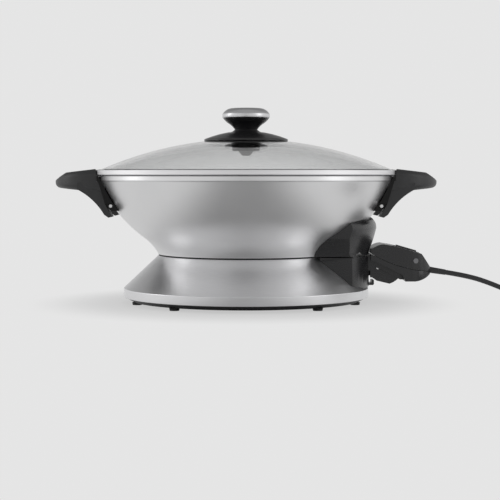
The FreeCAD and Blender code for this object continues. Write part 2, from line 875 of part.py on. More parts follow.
slab = block("terminal_slab", ("block_thick", "block_width", "block_height"),
             (BLOCK_X, "-block_width / 2", f"{HOOD_LOW} - block_height"))
block_bores = [rod("block_bore", "rod_radius + rod_play * 2", "block_thick", (BLOCK_X, 0, PLUG_Z), "x")]
pins = []
for side in (1, -1):
    spot = (BLOCK_X, f"terminal_spacing / 2 * {side}", PLUG_Z)
    block_bores.append(rod("block_bore", "pin_radius + fit_play", "block_thick", spot, "x"))
    reach = "block_thick + pin_reach - pin_point"
    shank = rod("pin_shank", "pin_radius", reach, spot, "x")
    tip = rod("pin_tip", "pin_radius", "pin_point", (f"{BLOCK_X} + {reach}", spot[1], spot[2]), "x",
              "pin_radius - pin_point * 0.7")
    pins.append(fuse("terminal_pin", [shank, tip]))
keep("terminal_block", cut("bored_block", slab, fuse("block_bores", block_bores)))
keep("terminal_pins", group("pins_group", pins))


# Socket hood on the bowl, fitted under its flare

hood = new_body("socket_hood")
hood_sketch = outline(hood, "hood_profile", "XZ", [
    ("hood_axis + hood_inner", HOOD_LOW),
    (SOCKET_X, HOOD_LOW),
    (SOCKET_X, f"{HOOD_LOW} + hood_face_height", "hood_face_bend"),
    (f"{SOCKET_X} + hood_bulge", f"{HOOD_LOW} + hood_bulge_height", "hood_nose_bend"),
    (SOCKET_X, HOOD_TOP),
    ("hood_axis + hood_inner", HOOD_TOP),
])
spine = hood_sketch.addGeometry(Part.LineSegment(
    Vector(value("hood_axis"), 0, 0), Vector(value("hood_axis"), value(HOOD_TOP), 0)), True)
for kind, position, text in (
    ("DistanceX", 1, "hood_axis"),
    ("DistanceY", 1, "0"),
    ("DistanceX", 2, "hood_axis"),
    ("DistanceY", 2, HOOD_TOP),
):
    index = hood_sketch.addConstraint(Sketcher.Constraint(kind, -1, 1, spine, position, value(text)))
    bind(hood_sketch, f"Constraints[{index}]", text)
turn(hood, hood_sketch, (hood_sketch, ["Axis0"]))
HOOD_SIDE_TOP = f"({HOOD_TOP} - hood_crown_fall)"
hood_arch = outline(
    hood, "hood_arch", "YZ",
    rectangle(f"-{BEYOND}", "0", BEYOND, BEYOND),
    [
        ("-hood_half_low", f"{HOOD_LOW} - 1"),
        ("hood_half_low", f"{HOOD_LOW} - 1"),
        ("hood_half", f"{HOOD_LOW} + hood_side_height"),
        ("hood_half", HOOD_SIDE_TOP, "hood_crown_bend"),
        ("-hood_half", HOOD_SIDE_TOP),
        ("-hood_half", f"{HOOD_LOW} + hood_side_height"),
    ],
)
pocket(hood, hood_arch, f"{BEYOND} * 2", both_ways=True)
groove(hood, outline(hood, "hood_seat", "XZ", bowl_room("rim_radius", "rim_height")))
NOTCH_X = f"({WAIST_X} + notch_start)"
notch = outline(hood, "hood_notch", "XZ", [
    (NOTCH_X, f"{HOOD_LOW} - 1"),
    (f"{NOTCH_X} + notch_length", f"{HOOD_LOW} - 1"),
    (f"{NOTCH_X} + notch_length", HOOD_LOW, "notch_bend"),
    (NOTCH_X, HOOD_LOW),
])
pocket(hood, notch, f"{BEYOND} * 2", both_ways=True)


# Handles: a loop grip on two legs, each leg held off the bowl by a bracket

def from_rim(inward, drop):
    """A point at a distance inward from the rim's radius and down from its top."""
    return (f"(rim_radius - {inward})", f"(rim_height - {drop})")


handle = new_body("handle_right")
grip = outline(handle, "grip_side", "XZ", [
    from_rim("grip_root", "grip_low - grip_low_fall"),
    ("rim_radius + grip_round", "rim_height - grip_low"),
    ("rim_radius + grip_round", "rim_height + grip_top"),
    ("rim_radius - grip_root", "rim_height + grip_top + grip_top_rise"),
])
pad(handle, grip, "grip_round * 2", both_ways=True)


def loop_plan(radius):
    """A half-round end beyond the rim with straight sides back past it."""
    return [
        ("rim_radius - grip_root * 2", f"-({radius})"),
        ("rim_radius", f"-({radius})", radius),
        (f"rim_radius + ({radius})", "0", radius),
        ("rim_radius", radius),
        ("rim_radius - grip_root * 2", radius),
    ]


grip_plan = outline(handle, "grip_plan", "XY", rectangle(
    "rim_radius - grip_root * 3", f"-{BEYOND}", BEYOND, BEYOND), loop_plan("grip_round"))
pocket(handle, grip_plan, f"{BEYOND} * 2", both_ways=True)
HOLE = "grip_round - grip_bar"
hole_plan = outline(handle, "grip_hole", "XY", loop_plan(HOLE))
pocket(handle, hole_plan, f"{BEYOND} * 2", both_ways=True)


def on_loop(radius, above):
    """A test for points on the loop's outer wall, above or below its middle."""
    reach = value(radius)
    centre = value("rim_radius")
    middle = value("rim_height - grip_low / 2")

    def test(point):
        out = math.hypot(max(point.x - centre, 0), point.y)
        return abs(out - reach) < 0.05 and (point.z > middle) == above

    return test


round_edges(handle, "grip_edge_top", on_loop("grip_round", True))
round_edges(handle, "grip_edge_low", on_loop("grip_round", False))
round_edges(handle, "opening_edge", on_loop(HOLE, True))
round_edges(handle, "opening_edge", on_loop(HOLE, False))

LEG_INNER = [
    from_rim("leg_throat", "leg_throat_drop"),
    from_rim("leg_bend_in", "leg_bend_in_drop"),
    from_rim("leg_shoulder", "leg_shoulder_drop"),
]
leg_profile = [
    from_rim("leg_toe", "leg_toe_drop"),
    from_rim("leg_low", "leg_low_drop"),
    from_rim("leg_heel", "leg_heel_drop") + ("-leg_bend",),
    ("rim_radius + leg_join", "rim_height - leg_join_drop"),
    ("rim_radius + leg_join", "rim_height - leg_join_drop / 2"),
    from_rim("leg_shoulder", "leg_join_drop / 2 - leg_join_drop / 4"),
] + LEG_INNER[::-1]
for side in (1, -1):
    name = "leg_near" if side > 0 else "leg_far"
    leg = outline(handle, name, "XZ", leg_profile)
    place(leg, z=f"leg_place * {side}", prefix="AttachmentOffset")
    pad(handle, leg, "leg_width", both_ways=True)
groove(handle, outline(handle, "handle_room", "XZ", bowl_room(
    "lid_radius + lid_gap", "rim_height - rim_gap_height")))


def mirrored(name, source, normal):
    """The mirror image of a sub-part across a plane through the axis."""
    item = doc.addObject("Part::Mirroring", name)
    item.Source = source
    item.Base = Vector()
    item.Normal = normal
    return item


keep("handle_left", mirrored("handle_mirror", handle, Vector(1, 0, 0)))

bracket = doc.addObject("PartDesign::Body", "bracket")
bracket_side = outline(bracket, "bracket_side", "XZ", [
    ("rim_radius - bracket_depth", "rim_height - bracket_low_drop"),
    from_rim("leg_throat + (leg_bend_in - leg_throat) * (leg_throat_drop - bracket_low_drop)"
             " / (leg_throat_drop - leg_bend_in_drop)", "bracket_low_drop"),
    LEG_INNER[1],
    from_rim("leg_bend_in + (leg_shoulder - leg_bend_in) * (leg_bend_in_drop - bracket_top_drop)"
             " / (leg_bend_in_drop - leg_shoulder_drop)", "bracket_top_drop"),
    ("rim_radius - bracket_depth", "rim_height - bracket_top_drop"),
])
place(bracket_side, z="leg_place", prefix="AttachmentOffset")
pad(bracket, bracket_side, "bracket_width", both_ways=True)
groove(bracket, outline(bracket, "bracket_room", "XZ", bowl_room("rim_radius", "rim_height")))
screw_hole = circles(bracket, "bracket_hole", "XZ", [
    from_rim("handle_screw_in", "handle_screw_drop") + ("handle_screw_radius + fit_play",)])
pocket(bracket, screw_hole, f"{BEYOND} * 2", both_ways=True)
bracket_pair = group("bracket_pair", [bracket, mirrored("bracket_far", bracket, Vector(0, 1, 0))])
keep("handle_bracket_right", bracket_pair)
keep("handle_bracket_left", mirrored("bracket_mirror", bracket_pair, Vector(1, 0, 0)))

handle_screws = []
for across in (1, -1):
    for side in (1, -1):
        spot = (f"(rim_radius - handle_screw_in) * {across}",
                f"(leg_place + bracket_width / 2) * {side}",
                "rim_height - handle_screw_drop")
        handle_screws.append(screw("handle_screw", spot, "y", "handle_screw_radius", "handle_screw_length",
                                   "handle_screw_head", "handle_screw_rise", side))
keep("handle_screws", group("handle_screws_group", handle_screws))


# Lid

def dome(radius, inside=""):
    """The height of the glass dome's outer, or inner, side at a radius."""
    return f"(dome_apex - dome_bend + sqrt((dome_bend {inside})^2 - ({radius})^2))"


INSIDE = "- glass_wall"
GLASS_X = "(glass_radius - glass_play)"
turned("lid_glass", [
    ("glass_hole", dome("glass_hole", INSIDE)),
    ("glass_hole", dome("glass_hole"), "-dome_bend"),
    (GLASS_X, dome(GLASS_X)),
    (GLASS_X, GLASS_LOW),
    ("glass_radius - glass_wall", GLASS_LOW),
    ("glass_radius - glass_wall", dome("glass_radius - glass_wall", INSIDE), "dome_bend - glass_wall"),
])
LID_SKIRT_X = "(rim_radius - rim_width - lid_play)"
turned("lid_rim", [
    ("lid_radius", LID_LOW),
    ("lid_radius", f"{LID_TOP} - lid_chamfer"),
    ("lid_radius - lid_chamfer", LID_TOP),
    ("glass_radius", LID_TOP),
    ("glass_radius", GLASS_LOW),
    (f"{LID_SKIRT_X} - lid_skirt_wall", GLASS_LOW),
    (f"{LID_SKIRT_X} - lid_skirt_wall", "rim_height - lid_skirt_depth"),
    (LID_SKIRT_X, "rim_height - lid_skirt_depth"),
    (LID_SKIRT_X, "rim_height"),
    ("rim_radius - rim_width + lid_seat", "rim_height"),
    ("rim_radius - rim_width + lid_seat", LID_LOW),
])
FLANGE_TOP = f"({dome('0')} + flange_rise)"
turned("knob_flange", [
    ("bolt_radius", f"{dome('bolt_radius')} + seat_gap", "-dome_bend"),
    ("flange_radius", f"{dome('flange_radius')} + seat_gap"),
    ("flange_radius", f"{dome('flange_radius')} + flange_edge", "flange_bend"),
    ("flange_top_radius", FLANGE_TOP),
    ("bolt_radius", FLANGE_TOP),
])
STEM_TOP = f"({FLANGE_TOP} + stem_rise)"
turned("knob_stem", [
    ("bolt_radius", FLANGE_TOP),
    ("flange_top_radius", FLANGE_TOP, "-neck_bend"),
    ("neck_radius", f"{FLANGE_TOP} + neck_rise"),
    ("stem_radius", STEM_TOP),
    ("bolt_radius", STEM_TOP),
])
turned("knob_cap", [
    ("0", STEM_TOP),
    ("cap_radius - cap_chamfer", STEM_TOP),
    ("cap_radius", f"{STEM_TOP} + cap_chamfer"),
    ("cap_radius", f"{STEM_TOP} + cap_side", "cap_bend"),
    ("cap_flat", f"{STEM_TOP} + cap_rise"),
    ("0", f"{STEM_TOP} + cap_rise"),
])
BOSS_LOW = "(dome_apex - glass_wall - boss_height)"
turned("knob_boss", [
    ("bolt_radius", BOSS_LOW),
    ("boss_radius", BOSS_LOW),
    ("boss_radius", f"{dome('boss_radius', INSIDE)} - seat_gap", "dome_bend - glass_wall"),
    ("bolt_radius", f"{dome('bolt_radius', INSIDE)} - seat_gap"),
])
WASHER_LOW = f"({BOSS_LOW} - washer_height)"
turned("knob_washer", rectangle("bolt_radius", WASHER_LOW, "boss_radius", BOSS_LOW))
DISC_LOW = f"({WASHER_LOW} - disc_height)"
turned("knob_disc", rectangle("bolt_radius", DISC_LOW, "boss_radius - bolt_radius / 5", WASHER_LOW))
nut = rod("knob_nut", "nut_flat", "nut_height", (0, 0, f"{DISC_LOW} - nut_height"), "z", "nut_radius")
bolt = rod("knob_bolt", "bolt_radius - fit_play", f"{STEM_TOP} - {DISC_LOW}", (0, 0, DISC_LOW))
keep("knob_screw", fuse("knob_fastener", [nut, bolt]))


# Heat control, plugged into the socket

PROBE_X = f"({SOCKET_X} + plug_gap)"
NOSE_X = f"({PROBE_X} - nose_length)"


def control(out, rise):
    """A point on the heat control: out from its front face, and up from the plug's axis."""
    return (f"({PROBE_X} + ({out}))", f"({PLUG_Z} + ({rise}))")


FACE_END = ("dial_near + dial_face * cos(dial_tilt)", "dial_near_rise - dial_face * sin(dial_tilt)")


def shell_body(label, corners):
    """A half of the housing: a side outline across the full width, with the tail drawn in."""
    body = doc.addObject("PartDesign::Body", label)
    pad(body, outline(body, label + "_side", "XZ", corners), "shell_half * 2", both_ways=True)
    plan = outline(body, label + "_plan", "XY", rectangle(
        f"{PROBE_X} - 1", f"-{BEYOND}", BEYOND, BEYOND), [
        (f"{PROBE_X} - 0.5", "-shell_half"),
        (f"{PROBE_X} + shell_side", "-shell_half", "tail_bend"),
        (f"{PROBE_X} + tail_place + 0.5", "-tail_half"),
        (f"{PROBE_X} + tail_place + 0.5", "tail_half", "tail_bend"),
        (f"{PROBE_X} + shell_side", "shell_half"),
        (f"{PROBE_X} - 0.5", "shell_half"),
    ])
    pocket(body, plan, f"{BEYOND} * 2", both_ways=True)
    return body


upper = shell_body("upper_half", [
    control("0", "seam_rise") + ("seam_bend",),
    control("tail_place", "-seam_fall"),
    control("tail_place", "-tail_top_fall"),
    control(*FACE_END),
    control("dial_near", "dial_near_rise"),
    control("brow_place", "brow_rise") + ("brow_bend",),
    control("0", "front_rise"),
])
lower = shell_body("lower_half", [
    control("0", "-recess_front_fall"),
    control("recess_lip", "-recess_front_fall"),
    control("recess_place", "-recess_fall"),
    control("belly_start", "-belly_fall"),
    control("belly_end", "-belly_fall") + ("belly_bend",),
    control("tail_place", "-belly_tail_fall"),
    control("tail_place", "-seam_fall - seam_gap") + ("-seam_bend",),
    control("0", "seam_rise - seam_gap"),
])


def tilted(item, place_text, angle_text):
    """Turns an object made at the origin about the Y axis, and moves it to its place."""
    item.Placement = Placement(Vector(), Rotation(Vector(0, 1, 0), value(angle_text)))
    bind(item, "Placement.Rotation.Angle", angle_text)
    place(item, place_text[0], 0, place_text[1])
    return item


# The dial's own axis starts in the middle of its sloping face
DIAL = control("dial_near + dial_face / 2 * cos(dial_tilt)", "dial_near_rise - dial_face / 2 * sin(dial_tilt)")
DIAL_LOW = "(dial_rise - dial_thick)"
well_tool = doc.addObject("PartDesign::Body", "dial_well")
turn(well_tool, outline(well_tool, "dial_well_outline", "XZ", [
    ("0", f"{DIAL_LOW} - dial_lift - shaft_length"),
    ("shaft_radius + shaft_play", f"{DIAL_LOW} - dial_lift - shaft_length"),
    ("shaft_radius + shaft_play", f"{DIAL_LOW} - dial_lift"),
    ("dial_radius + dial_play", f"{DIAL_LOW} - dial_lift"),
    ("dial_radius + dial_play", "dial_thick * 2"),
    ("0", "dial_thick * 2"),
]))
tilted(well_tool, DIAL, "dial_tilt")

cavity = block("switch_cavity", ("cavity_length", "cavity_width", "cavity_low_fall - cavity_top_fall"), (
    f"{PROBE_X} + cavity_start", "-cavity_width / 2", f"{PLUG_Z} - cavity_low_fall"))
LENS = control("lens_place", "-lens_fall")
LENS_Y = "(-shell_half - lens_rise)"
lens_bore = rod("lens_bore", "lens_radius + fit_play", "lens_depth + lens_rise * 2",
                (LENS[0], LENS_Y, LENS[1]), "y")

# The strain relief leaves the tail along the cord's slope
RELIEF = control("tail_place - relief_root", "-relief_fall")
relief = doc.addObject("Part::Cone", "relief_cone")
bind(relief, "Radius1", "relief_radius")
bind(relief, "Radius2", "relief_end_radius")
bind(relief, "Height", "relief_length")
tilted(relief, RELIEF, "90 + cord_tilt")
keep("strain_relief", relief)
relief_bore = doc.addObject("Part::Cone", "relief_bore")
bind(relief_bore, "Radius1", "relief_radius + fit_play")
bind(relief_bore, "Radius2", "relief_end_radius + fit_play")
bind(relief_bore, "Height", "relief_length")
tilted(relief_bore, RELIEF, "90 + cord_tilt")

probe_screws = []
screw_bores = []
for side in (1, -1):
    spot = (f"{PROBE_X} + probe_screw_place", f"probe_screw_side * {side}",
            f"{PLUG_Z} - belly_fall + probe_screw_sink")
    probe_screws.append(screw("probe_screw", spot, "z", "probe_screw_radius", "probe_screw_length",
                              "probe_screw_head", "probe_screw_rise", -1))
    screw_bores.append(rod("probe_screw_bore", "probe_screw_radius + fit_play", "probe_screw_length", spot))
    low = (spot[0], spot[1], f"{spot[2]} - probe_screw_sink * 2")
    screw_bores.append(rod("probe_screw_recess", "probe_screw_head + fit_play", "probe_screw_sink * 2", low))
keep("probe_screws", group("probe_screws_group", probe_screws))

keep("probe_upper_shell", cut("upper_cut", upper, fuse("upper_tools", [
    well_tool, cavity, lens_bore, relief_bore] + screw_bores)))

PIVOT = control("pivot_place", "-pivot_fall")
lug = fuse("lug", [
    block("lug_plate", ("lug_radius * 2", "lug_width", "lug_rise"), (
        f"{PIVOT[0]} - lug_radius", "-lug_width / 2", PIVOT[1])),
    rod("lug_round", "lug_radius", "lug_width", (PIVOT[0], "-lug_width / 2", PIVOT[1]), "y"),
])
pin_bore = rod("pin_bore", "pivot_radius + fit_play", "lug_width", (PIVOT[0], "-lug_width / 2", PIVOT[1]), "y")
keep("probe_lower_shell", cut("lower_cut", fuse("lower_with_lug", [lower, lug]), fuse("lower_tools", [
    cavity, relief_bore, pin_bore] + screw_bores)))
keep("trigger_pin", rod("pivot_pin", "pivot_radius", "trigger_width", (
    PIVOT[0], "-trigger_width / 2", PIVOT[1]), "y"))
keep("indicator_lens", rod("lens", "lens_radius", "lens_depth + lens_rise", (
    LENS[0], LENS_Y, LENS[1]), "y"))
keep("thermostat_switch", block("switch", (
    "cavity_length - switch_play * 2", "cavity_width - switch_play * 2", "switch_height"), (
    f"{PROBE_X} + cavity_start + switch_play", "-cavity_width / 2 + switch_play",
    f"{PLUG_Z} - cavity_low_fall")))

nose_block = block("nose_block", ("nose_length", "nose_width", "nose_height"), (
    NOSE_X, "-nose_width / 2", NOSE_LOW))
nose_bores = [rod("rod_bore", "rod_radius + fit_play", "rod_root", (NOSE_X, 0, PLUG_Z), "x")]
SLEEVE_R = "(pin_radius + sleeve_play + sleeve_wall)"
sleeves = []
for side in (1, -1):
    spot = (NOSE_X, f"terminal_spacing / 2 * {side}", PLUG_Z)
    nose_bores.append(rod("sleeve_room", f"{SLEEVE_R} + fit_play", "sleeve_length", spot, "x"))
    sleeves.append(cut("sleeve", rod("sleeve_outside", SLEEVE_R, "sleeve_length", spot, "x"),
                       rod("sleeve_bore", "pin_radius + sleeve_play", "sleeve_length", spot, "x")))
keep("probe_nose", cut("nose", nose_block, fuse("nose_bores", nose_bores)))
keep("contact_sleeves", group("sleeves_group", sleeves))
keep("sensor_rod", rod("rod", "rod_radius", "rod_reach + rod_root", (
    f"{NOSE_X} - rod_reach", 0, PLUG_Z), "x"))

trigger = doc.addObject("PartDesign::Body", "trigger_body")
pad(trigger, outline(trigger, "trigger_side", "XZ", [
    control("heel_place", "-heel_low_fall"),
    control("throat_place", "-throat_fall"),
    control("trigger_belly", "-trigger_belly_fall") + ("tip_bend * 2",),
    control("tip_place", "-tip_fall"),
    control("trigger_back", "-trigger_back_fall"),
    control("heel_place", "-heel_top_fall"),
]), "trigger_width", both_ways=True)
SLOT_R = "(lug_radius + lug_play)"
trigger_tools = fuse("trigger_tools", [
    block("trigger_slot", ("pivot_place + lug_radius + lug_play * 3", "lug_width + lug_play * 2", "lug_rise * 2"), (
        PROBE_X, "-lug_width / 2 - lug_play", PIVOT[1])),
    rod("trigger_slot_end", SLOT_R, "lug_width + lug_play * 2", (
        PIVOT[0], "-lug_width / 2 - lug_play", PIVOT[1]), "y"),
    rod("trigger_bore", "pivot_radius + pivot_play", "trigger_width", (
        PIVOT[0], "-trigger_width / 2", PIVOT[1]), "y"),
])
keep("trigger", cut("trigger_cut", trigger, trigger_tools))

dial = new_body("dial")
turn(dial, outline(dial, "dial_outline", "XZ", [
    ("0", DIAL_LOW),
    ("dial_radius", DIAL_LOW),
    ("dial_radius", "dial_rise - dial_bar_height / 4"),
    ("dial_radius - dial_bar_height / 4", "dial_rise"),
    ("dial_dish", "dial_rise"),
    ("dial_dish - dial_rim_height", "dial_rise - dial_rim_height"),
    ("0", "dial_rise - dial_rim_height"),
]))
bar = outline(dial, "dial_bar", "XY", [
    ("-dial_dish + 1", "-dial_bar_width / 2"),
    ("dial_dish - 1", "-dial_bar_width / 2"),
    ("dial_dish - 1", "dial_bar_width / 2"),
    ("-dial_dish + 1", "dial_bar_width / 2"),
])
place(bar, z=f"{DIAL_LOW} + dial_thick / 2", prefix="AttachmentOffset")
pad(dial, bar, "dial_thick / 2 + dial_bar_height")
tilted(dial, DIAL, "dial_tilt")
shaft = new_body("dial_shaft")
shaft_disc = circles(shaft, "shaft_disc", "XY", [("0", "0", "shaft_radius")])
place(shaft_disc, z=DIAL_LOW, prefix="AttachmentOffset")
pad(shaft, shaft_disc, "shaft_length", turned_back=True)
tilted(shaft, DIAL, "dial_tilt")


# Cord, coil and plug

def rounded_route(points):
    """Straight runs with tangent arcs at the corners."""
    edges = []
    last = points[0]
    least = None
    for before, corner, after in zip(points, points[1:], points[2:]):
        inward = (before - corner)
        outward = (after - corner)
        turning = math.pi - inward.getAngle(outward)
        room = 0.45 * min(inward.Length, outward.Length)
        radius = room / math.tan(turning / 2)
        least = min(radius, least or radius)
        start = corner + inward.normalize() * room
        end = corner + outward.normalize() * room
        lean = (inward + outward).normalize()
        middle = corner + lean * (radius / math.cos(turning / 2) - radius)
        edges.append(Part.LineSegment(last, start).toShape())
        edges.append(Part.Arc(start, middle, end).toShape())
        last = end
    edges.append(Part.LineSegment(last, points[-1]).toShape())
    print(f"cord: least radius of a bend {least:.1f} mm")
    return edges


FLOOR_LINE = "(cord_radius + floor_clearance)"
tilt = math.radians(value("cord_tilt"))
heading = Vector(math.cos(tilt), 0, -math.sin(tilt))
relief_start = Vector(value(RELIEF[0]), 0, value(RELIEF[1]))
cord_start = relief_start + heading * value("relief_length")
low = value(FLOOR_LINE)
coil_centre = Vector(value("coil_place_x"), value("coil_place_y"), 0)
coil_side = Vector(1, 0, 0)
coil_way = Vector(0, -1, 0)
coil_start = coil_centre + coil_side * value("coil_outer") + Vector(0, 0, low)
cord_end = coil_start - coil_way * value("coil_tail")
route = [
    cord_start,
    cord_start + heading * 29,
    Vector(298, 0, low + 18.2),
    Vector(326, -1, low + 5.7),
    Vector(352, -7, low),
    Vector(372, -22, low),
    cord_end - coil_way * 27,
    cord_end,
]
for point in route:
    print(f"route: {point.x:.1f}, {point.y:.1f}, {point.z:.1f}")
tube("cord", route, rounded_route(route), value("cord_radius"))


def arc_from(start, way, end):
    """The arc that leaves a point in a direction and ends at another point."""
    chord = end - start
    side = (way - chord * (way.dot(chord) / chord.dot(chord))).normalize()
    rise = chord.Length / 2 * math.tan(way.getAngle(chord) / 2)
    return Part.Arc(start, start + chord / 2 + side * rise, end).toShape()


def biarc(start, way, end, end_way):
    """Two arcs that join two points and meet the directions at both."""
    span = end - start
    both = way + end_way
    bend = 2 * (1 - way.dot(end_way))
    along = span.dot(both)
    reach = (math.sqrt(along * along + bend * span.dot(span)) - along) / bend
    joint = (start + way * reach + end - end_way * reach) / 2
    second = arc_from(end, end_way * -1, joint)
    middle = second.valueAt((second.FirstParameter + second.LastParameter) / 2)
    return [arc_from(start, way, joint), Part.Arc(joint, middle, end).toShape()]


def coil_edges():
    """Half turns inward on the floor, one that climbs, and half turns outward on top of them."""
    rise = value("coil_rise")
    step = value("coil_pitch") / 2
    half_turns = int(value("coil_turns")) * 2
    edges = [Part.LineSegment(cord_end, coil_start).toShape()]
    radius = value("coil_outer")
    side = coil_side
    way = coil_way
    height = low
    for number in range(half_turns * 2 + 2):
        climbs = number == half_turns
        change = 0 if climbs else (-step if number < half_turns else step)
        start = coil_centre + side * radius + Vector(0, 0, height)
        end = coil_centre - side * (radius + change) + Vector(0, 0, height)
        mean = radius + change / 2
        halfway = (start + end) / 2 + way * mean
        if climbs:
            slope = math.asin(rise / (math.pi * mean))
            climb = side * -math.cos(slope) + Vector(0, 0, math.sin(slope))
            halfway.z += rise / 2
            end.z += rise
            edges += biarc(start, way, halfway, climb) + biarc(halfway, climb, end, way * -1)
            height += rise
        else:
            edges.append(Part.Arc(start, halfway, end).toShape())
        radius += change
        side = side * -1
        way = way * -1
    edges.append(Part.LineSegment(end, end + way * value("coil_tail")).toShape())
    return edges


def least_gap(edges, radius):
    """The least gap between parts of a tube that lie more than half a turn apart along it."""
    points = []
    for edge in edges:
        points += edge.discretize(Number=max(2, int(edge.Length / 2)))[:-1]
    apart = 24
    return min(
        points[i].distanceToPoint(points[j]) - radius * 2
        for i in range(len(points))
        for j in range(i + apart, len(points))
    )


turns = coil_edges()
print(f"coil: least gap to itself {least_gap(turns, value('cord_radius')):.2f} mm")
tube("cord_coil", [cord_end, coil_start], turns, value("cord_radius"))

PLUG_LINE = f"({FLOOR_LINE} + coil_rise)"
PLUG_X = "(coil_place_x + coil_outer + coil_pitch / 2)"
PLUG_Y = "(coil_place_y - coil_tail - plug_relief)"
keep("plug_relief", rod("plug_cone", "plug_relief_radius", "plug_relief", (
    PLUG_X, PLUG_Y, PLUG_LINE), "y", "relief_end_radius"))
plug = new_body("plug_body")
plug_face = outline(plug, "plug_face", "XZ", [
    (f"{PLUG_X} - plug_width / 2 + plug_edge", f"{PLUG_LINE} - plug_height / 2"),
    (f"{PLUG_X} + plug_width / 2 - plug_edge", f"{PLUG_LINE} - plug_height / 2", "plug_edge"),
    (f"{PLUG_X} + plug_width / 2", f"{PLUG_LINE} - plug_height / 2 + plug_edge"),
    (f"{PLUG_X} + plug_width / 2", f"{PLUG_LINE} + plug_height / 2 - plug_edge", "plug_edge"),
    (f"{PLUG_X} + plug_width / 2 - plug_edge", f"{PLUG_LINE} + plug_height / 2"),
    (f"{PLUG_X} - plug_width / 2 + plug_edge", f"{PLUG_LINE} + plug_height / 2", "plug_edge"),
    (f"{PLUG_X} - plug_width / 2", f"{PLUG_LINE} + plug_height / 2 - plug_edge"),
    (f"{PLUG_X} - plug_width / 2", f"{PLUG_LINE} - plug_height / 2 + plug_edge", "plug_edge"),
])
place(plug_face, z=f"-({PLUG_Y})", prefix="AttachmentOffset")
pad(plug, plug_face, "plug_length")
blades = []
for side in (1, -1):
    blades.append(block("blade", ("blade_thick", "blade_length", "blade_height"), (
        f"{PLUG_X} + blade_spacing / 2 * {side} - blade_thick / 2",
        f"{PLUG_Y} - plug_length - blade_length", f"{PLUG_LINE} - blade_height / 2")))
keep("plug_blades", group("blades_group", blades))


# Checks and export

doc.recompute()
for item in doc.Objects:
    faults = [state for state in item.State if state in ("Invalid", "Error")]
    if faults:
        raise RuntimeError(f"{item.Name} is {faults}")
os.makedirs("parts", exist_ok=True)
for label, item in nodes.items():
    shape = item.Shape
    if shape.isNull() or not shape.isValid():
        raise RuntimeError(f"{label} has no sound shape")
    shape.exportStep(f"parts/{label}.step")
    print(f"{label}: {len(shape.Solids)} solids, {shape.Volume / 1000:.2f} cm3")
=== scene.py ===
import logging
import math
from contextlib import contextmanager
from dataclasses import dataclass
from enum import Enum
from typing import Iterator, Sequence

import bpy
from mathutils import Matrix, Vector


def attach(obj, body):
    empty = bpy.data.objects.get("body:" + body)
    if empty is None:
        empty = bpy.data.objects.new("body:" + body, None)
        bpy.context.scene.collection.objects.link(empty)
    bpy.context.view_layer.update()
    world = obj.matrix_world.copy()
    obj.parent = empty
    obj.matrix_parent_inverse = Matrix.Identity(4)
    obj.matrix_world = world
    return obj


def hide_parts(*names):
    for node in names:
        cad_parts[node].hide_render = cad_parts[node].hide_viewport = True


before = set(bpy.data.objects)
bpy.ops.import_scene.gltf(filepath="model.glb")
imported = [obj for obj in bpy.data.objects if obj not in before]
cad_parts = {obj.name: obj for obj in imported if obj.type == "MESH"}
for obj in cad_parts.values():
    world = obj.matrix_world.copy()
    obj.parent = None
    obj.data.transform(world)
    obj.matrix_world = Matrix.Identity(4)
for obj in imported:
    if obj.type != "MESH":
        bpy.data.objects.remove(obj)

log = logging.getLogger("electric_wok")

MM = 0.001
FRAME_PIXELS = 500
SAME_POINT = 0.000002
FLAT_ANGLE = 0.5
STEEP = 0.7
WHOLE = (1.0, 1.0, 1.0)

Corner = tuple[float, ...]
Point = tuple[float, float, float]
Span = tuple[float, float]
Item = bpy.types.Object
Socket = bpy.types.NodeSocket


class Body(Enum):
    """The rigid bodies that the pieces ride on."""

    BASE = "base"
    BOWL = "bowl"
    LID = "lid"
    CONTROL = "heat_control"
    DIAL = "dial"
    TRIGGER = "trigger"


# Materials

class Nodes:
    """A node tree, with short ways to add its nodes and join them."""

    def __init__(self, tree: bpy.types.NodeTree) -> None:
        """Takes up a node tree."""
        self.tree = tree

    def node(self, kind: str, **values: object) -> bpy.types.Node:
        """Adds a node.

        Args:
            kind: the node's type, without its ShaderNode prefix.
            values: properties of the node.

        Returns:
            The new node.
        """
        node = self.tree.nodes.new("ShaderNode" + kind)
        for key, setting in values.items():
            setattr(node, key, setting)
        return node

    def link(self, source: Socket, target: Socket) -> None:
        """Joins two sockets."""
        self.tree.links.new(source, target)

    def maths(self, operation: str, *values: object) -> Socket:
        """Works out a value from sockets and numbers.

        Args:
            operation: the Math node's operation.
            values: its sockets and floats, in order.

        Returns:
            The value socket.
        """
        node = self.node("Math", operation=operation)
        for target, value in zip(node.inputs, values):
            if isinstance(value, float):
                target.default_value = value
            else:
                self.link(value, target)
        return node.outputs["Value"]

    def ranged(self, source: Socket, before: Span, after: Span, soft: bool = False) -> Socket:
        """Maps one range of values to another.

        Args:
            source: the value.
            before: the ends of its range.
            after: what they become.
            soft: whether the change is gentle at both ends.

        Returns:
            The value socket.
        """
        node = self.node("MapRange", interpolation_type="SMOOTHSTEP" if soft else "LINEAR")
        for key, value in zip(("From Min", "From Max", "To Min", "To Max"), (*before, *after)):
            node.inputs[key].default_value = value
        self.link(source, node.inputs["Value"])
        return node.outputs["Result"]


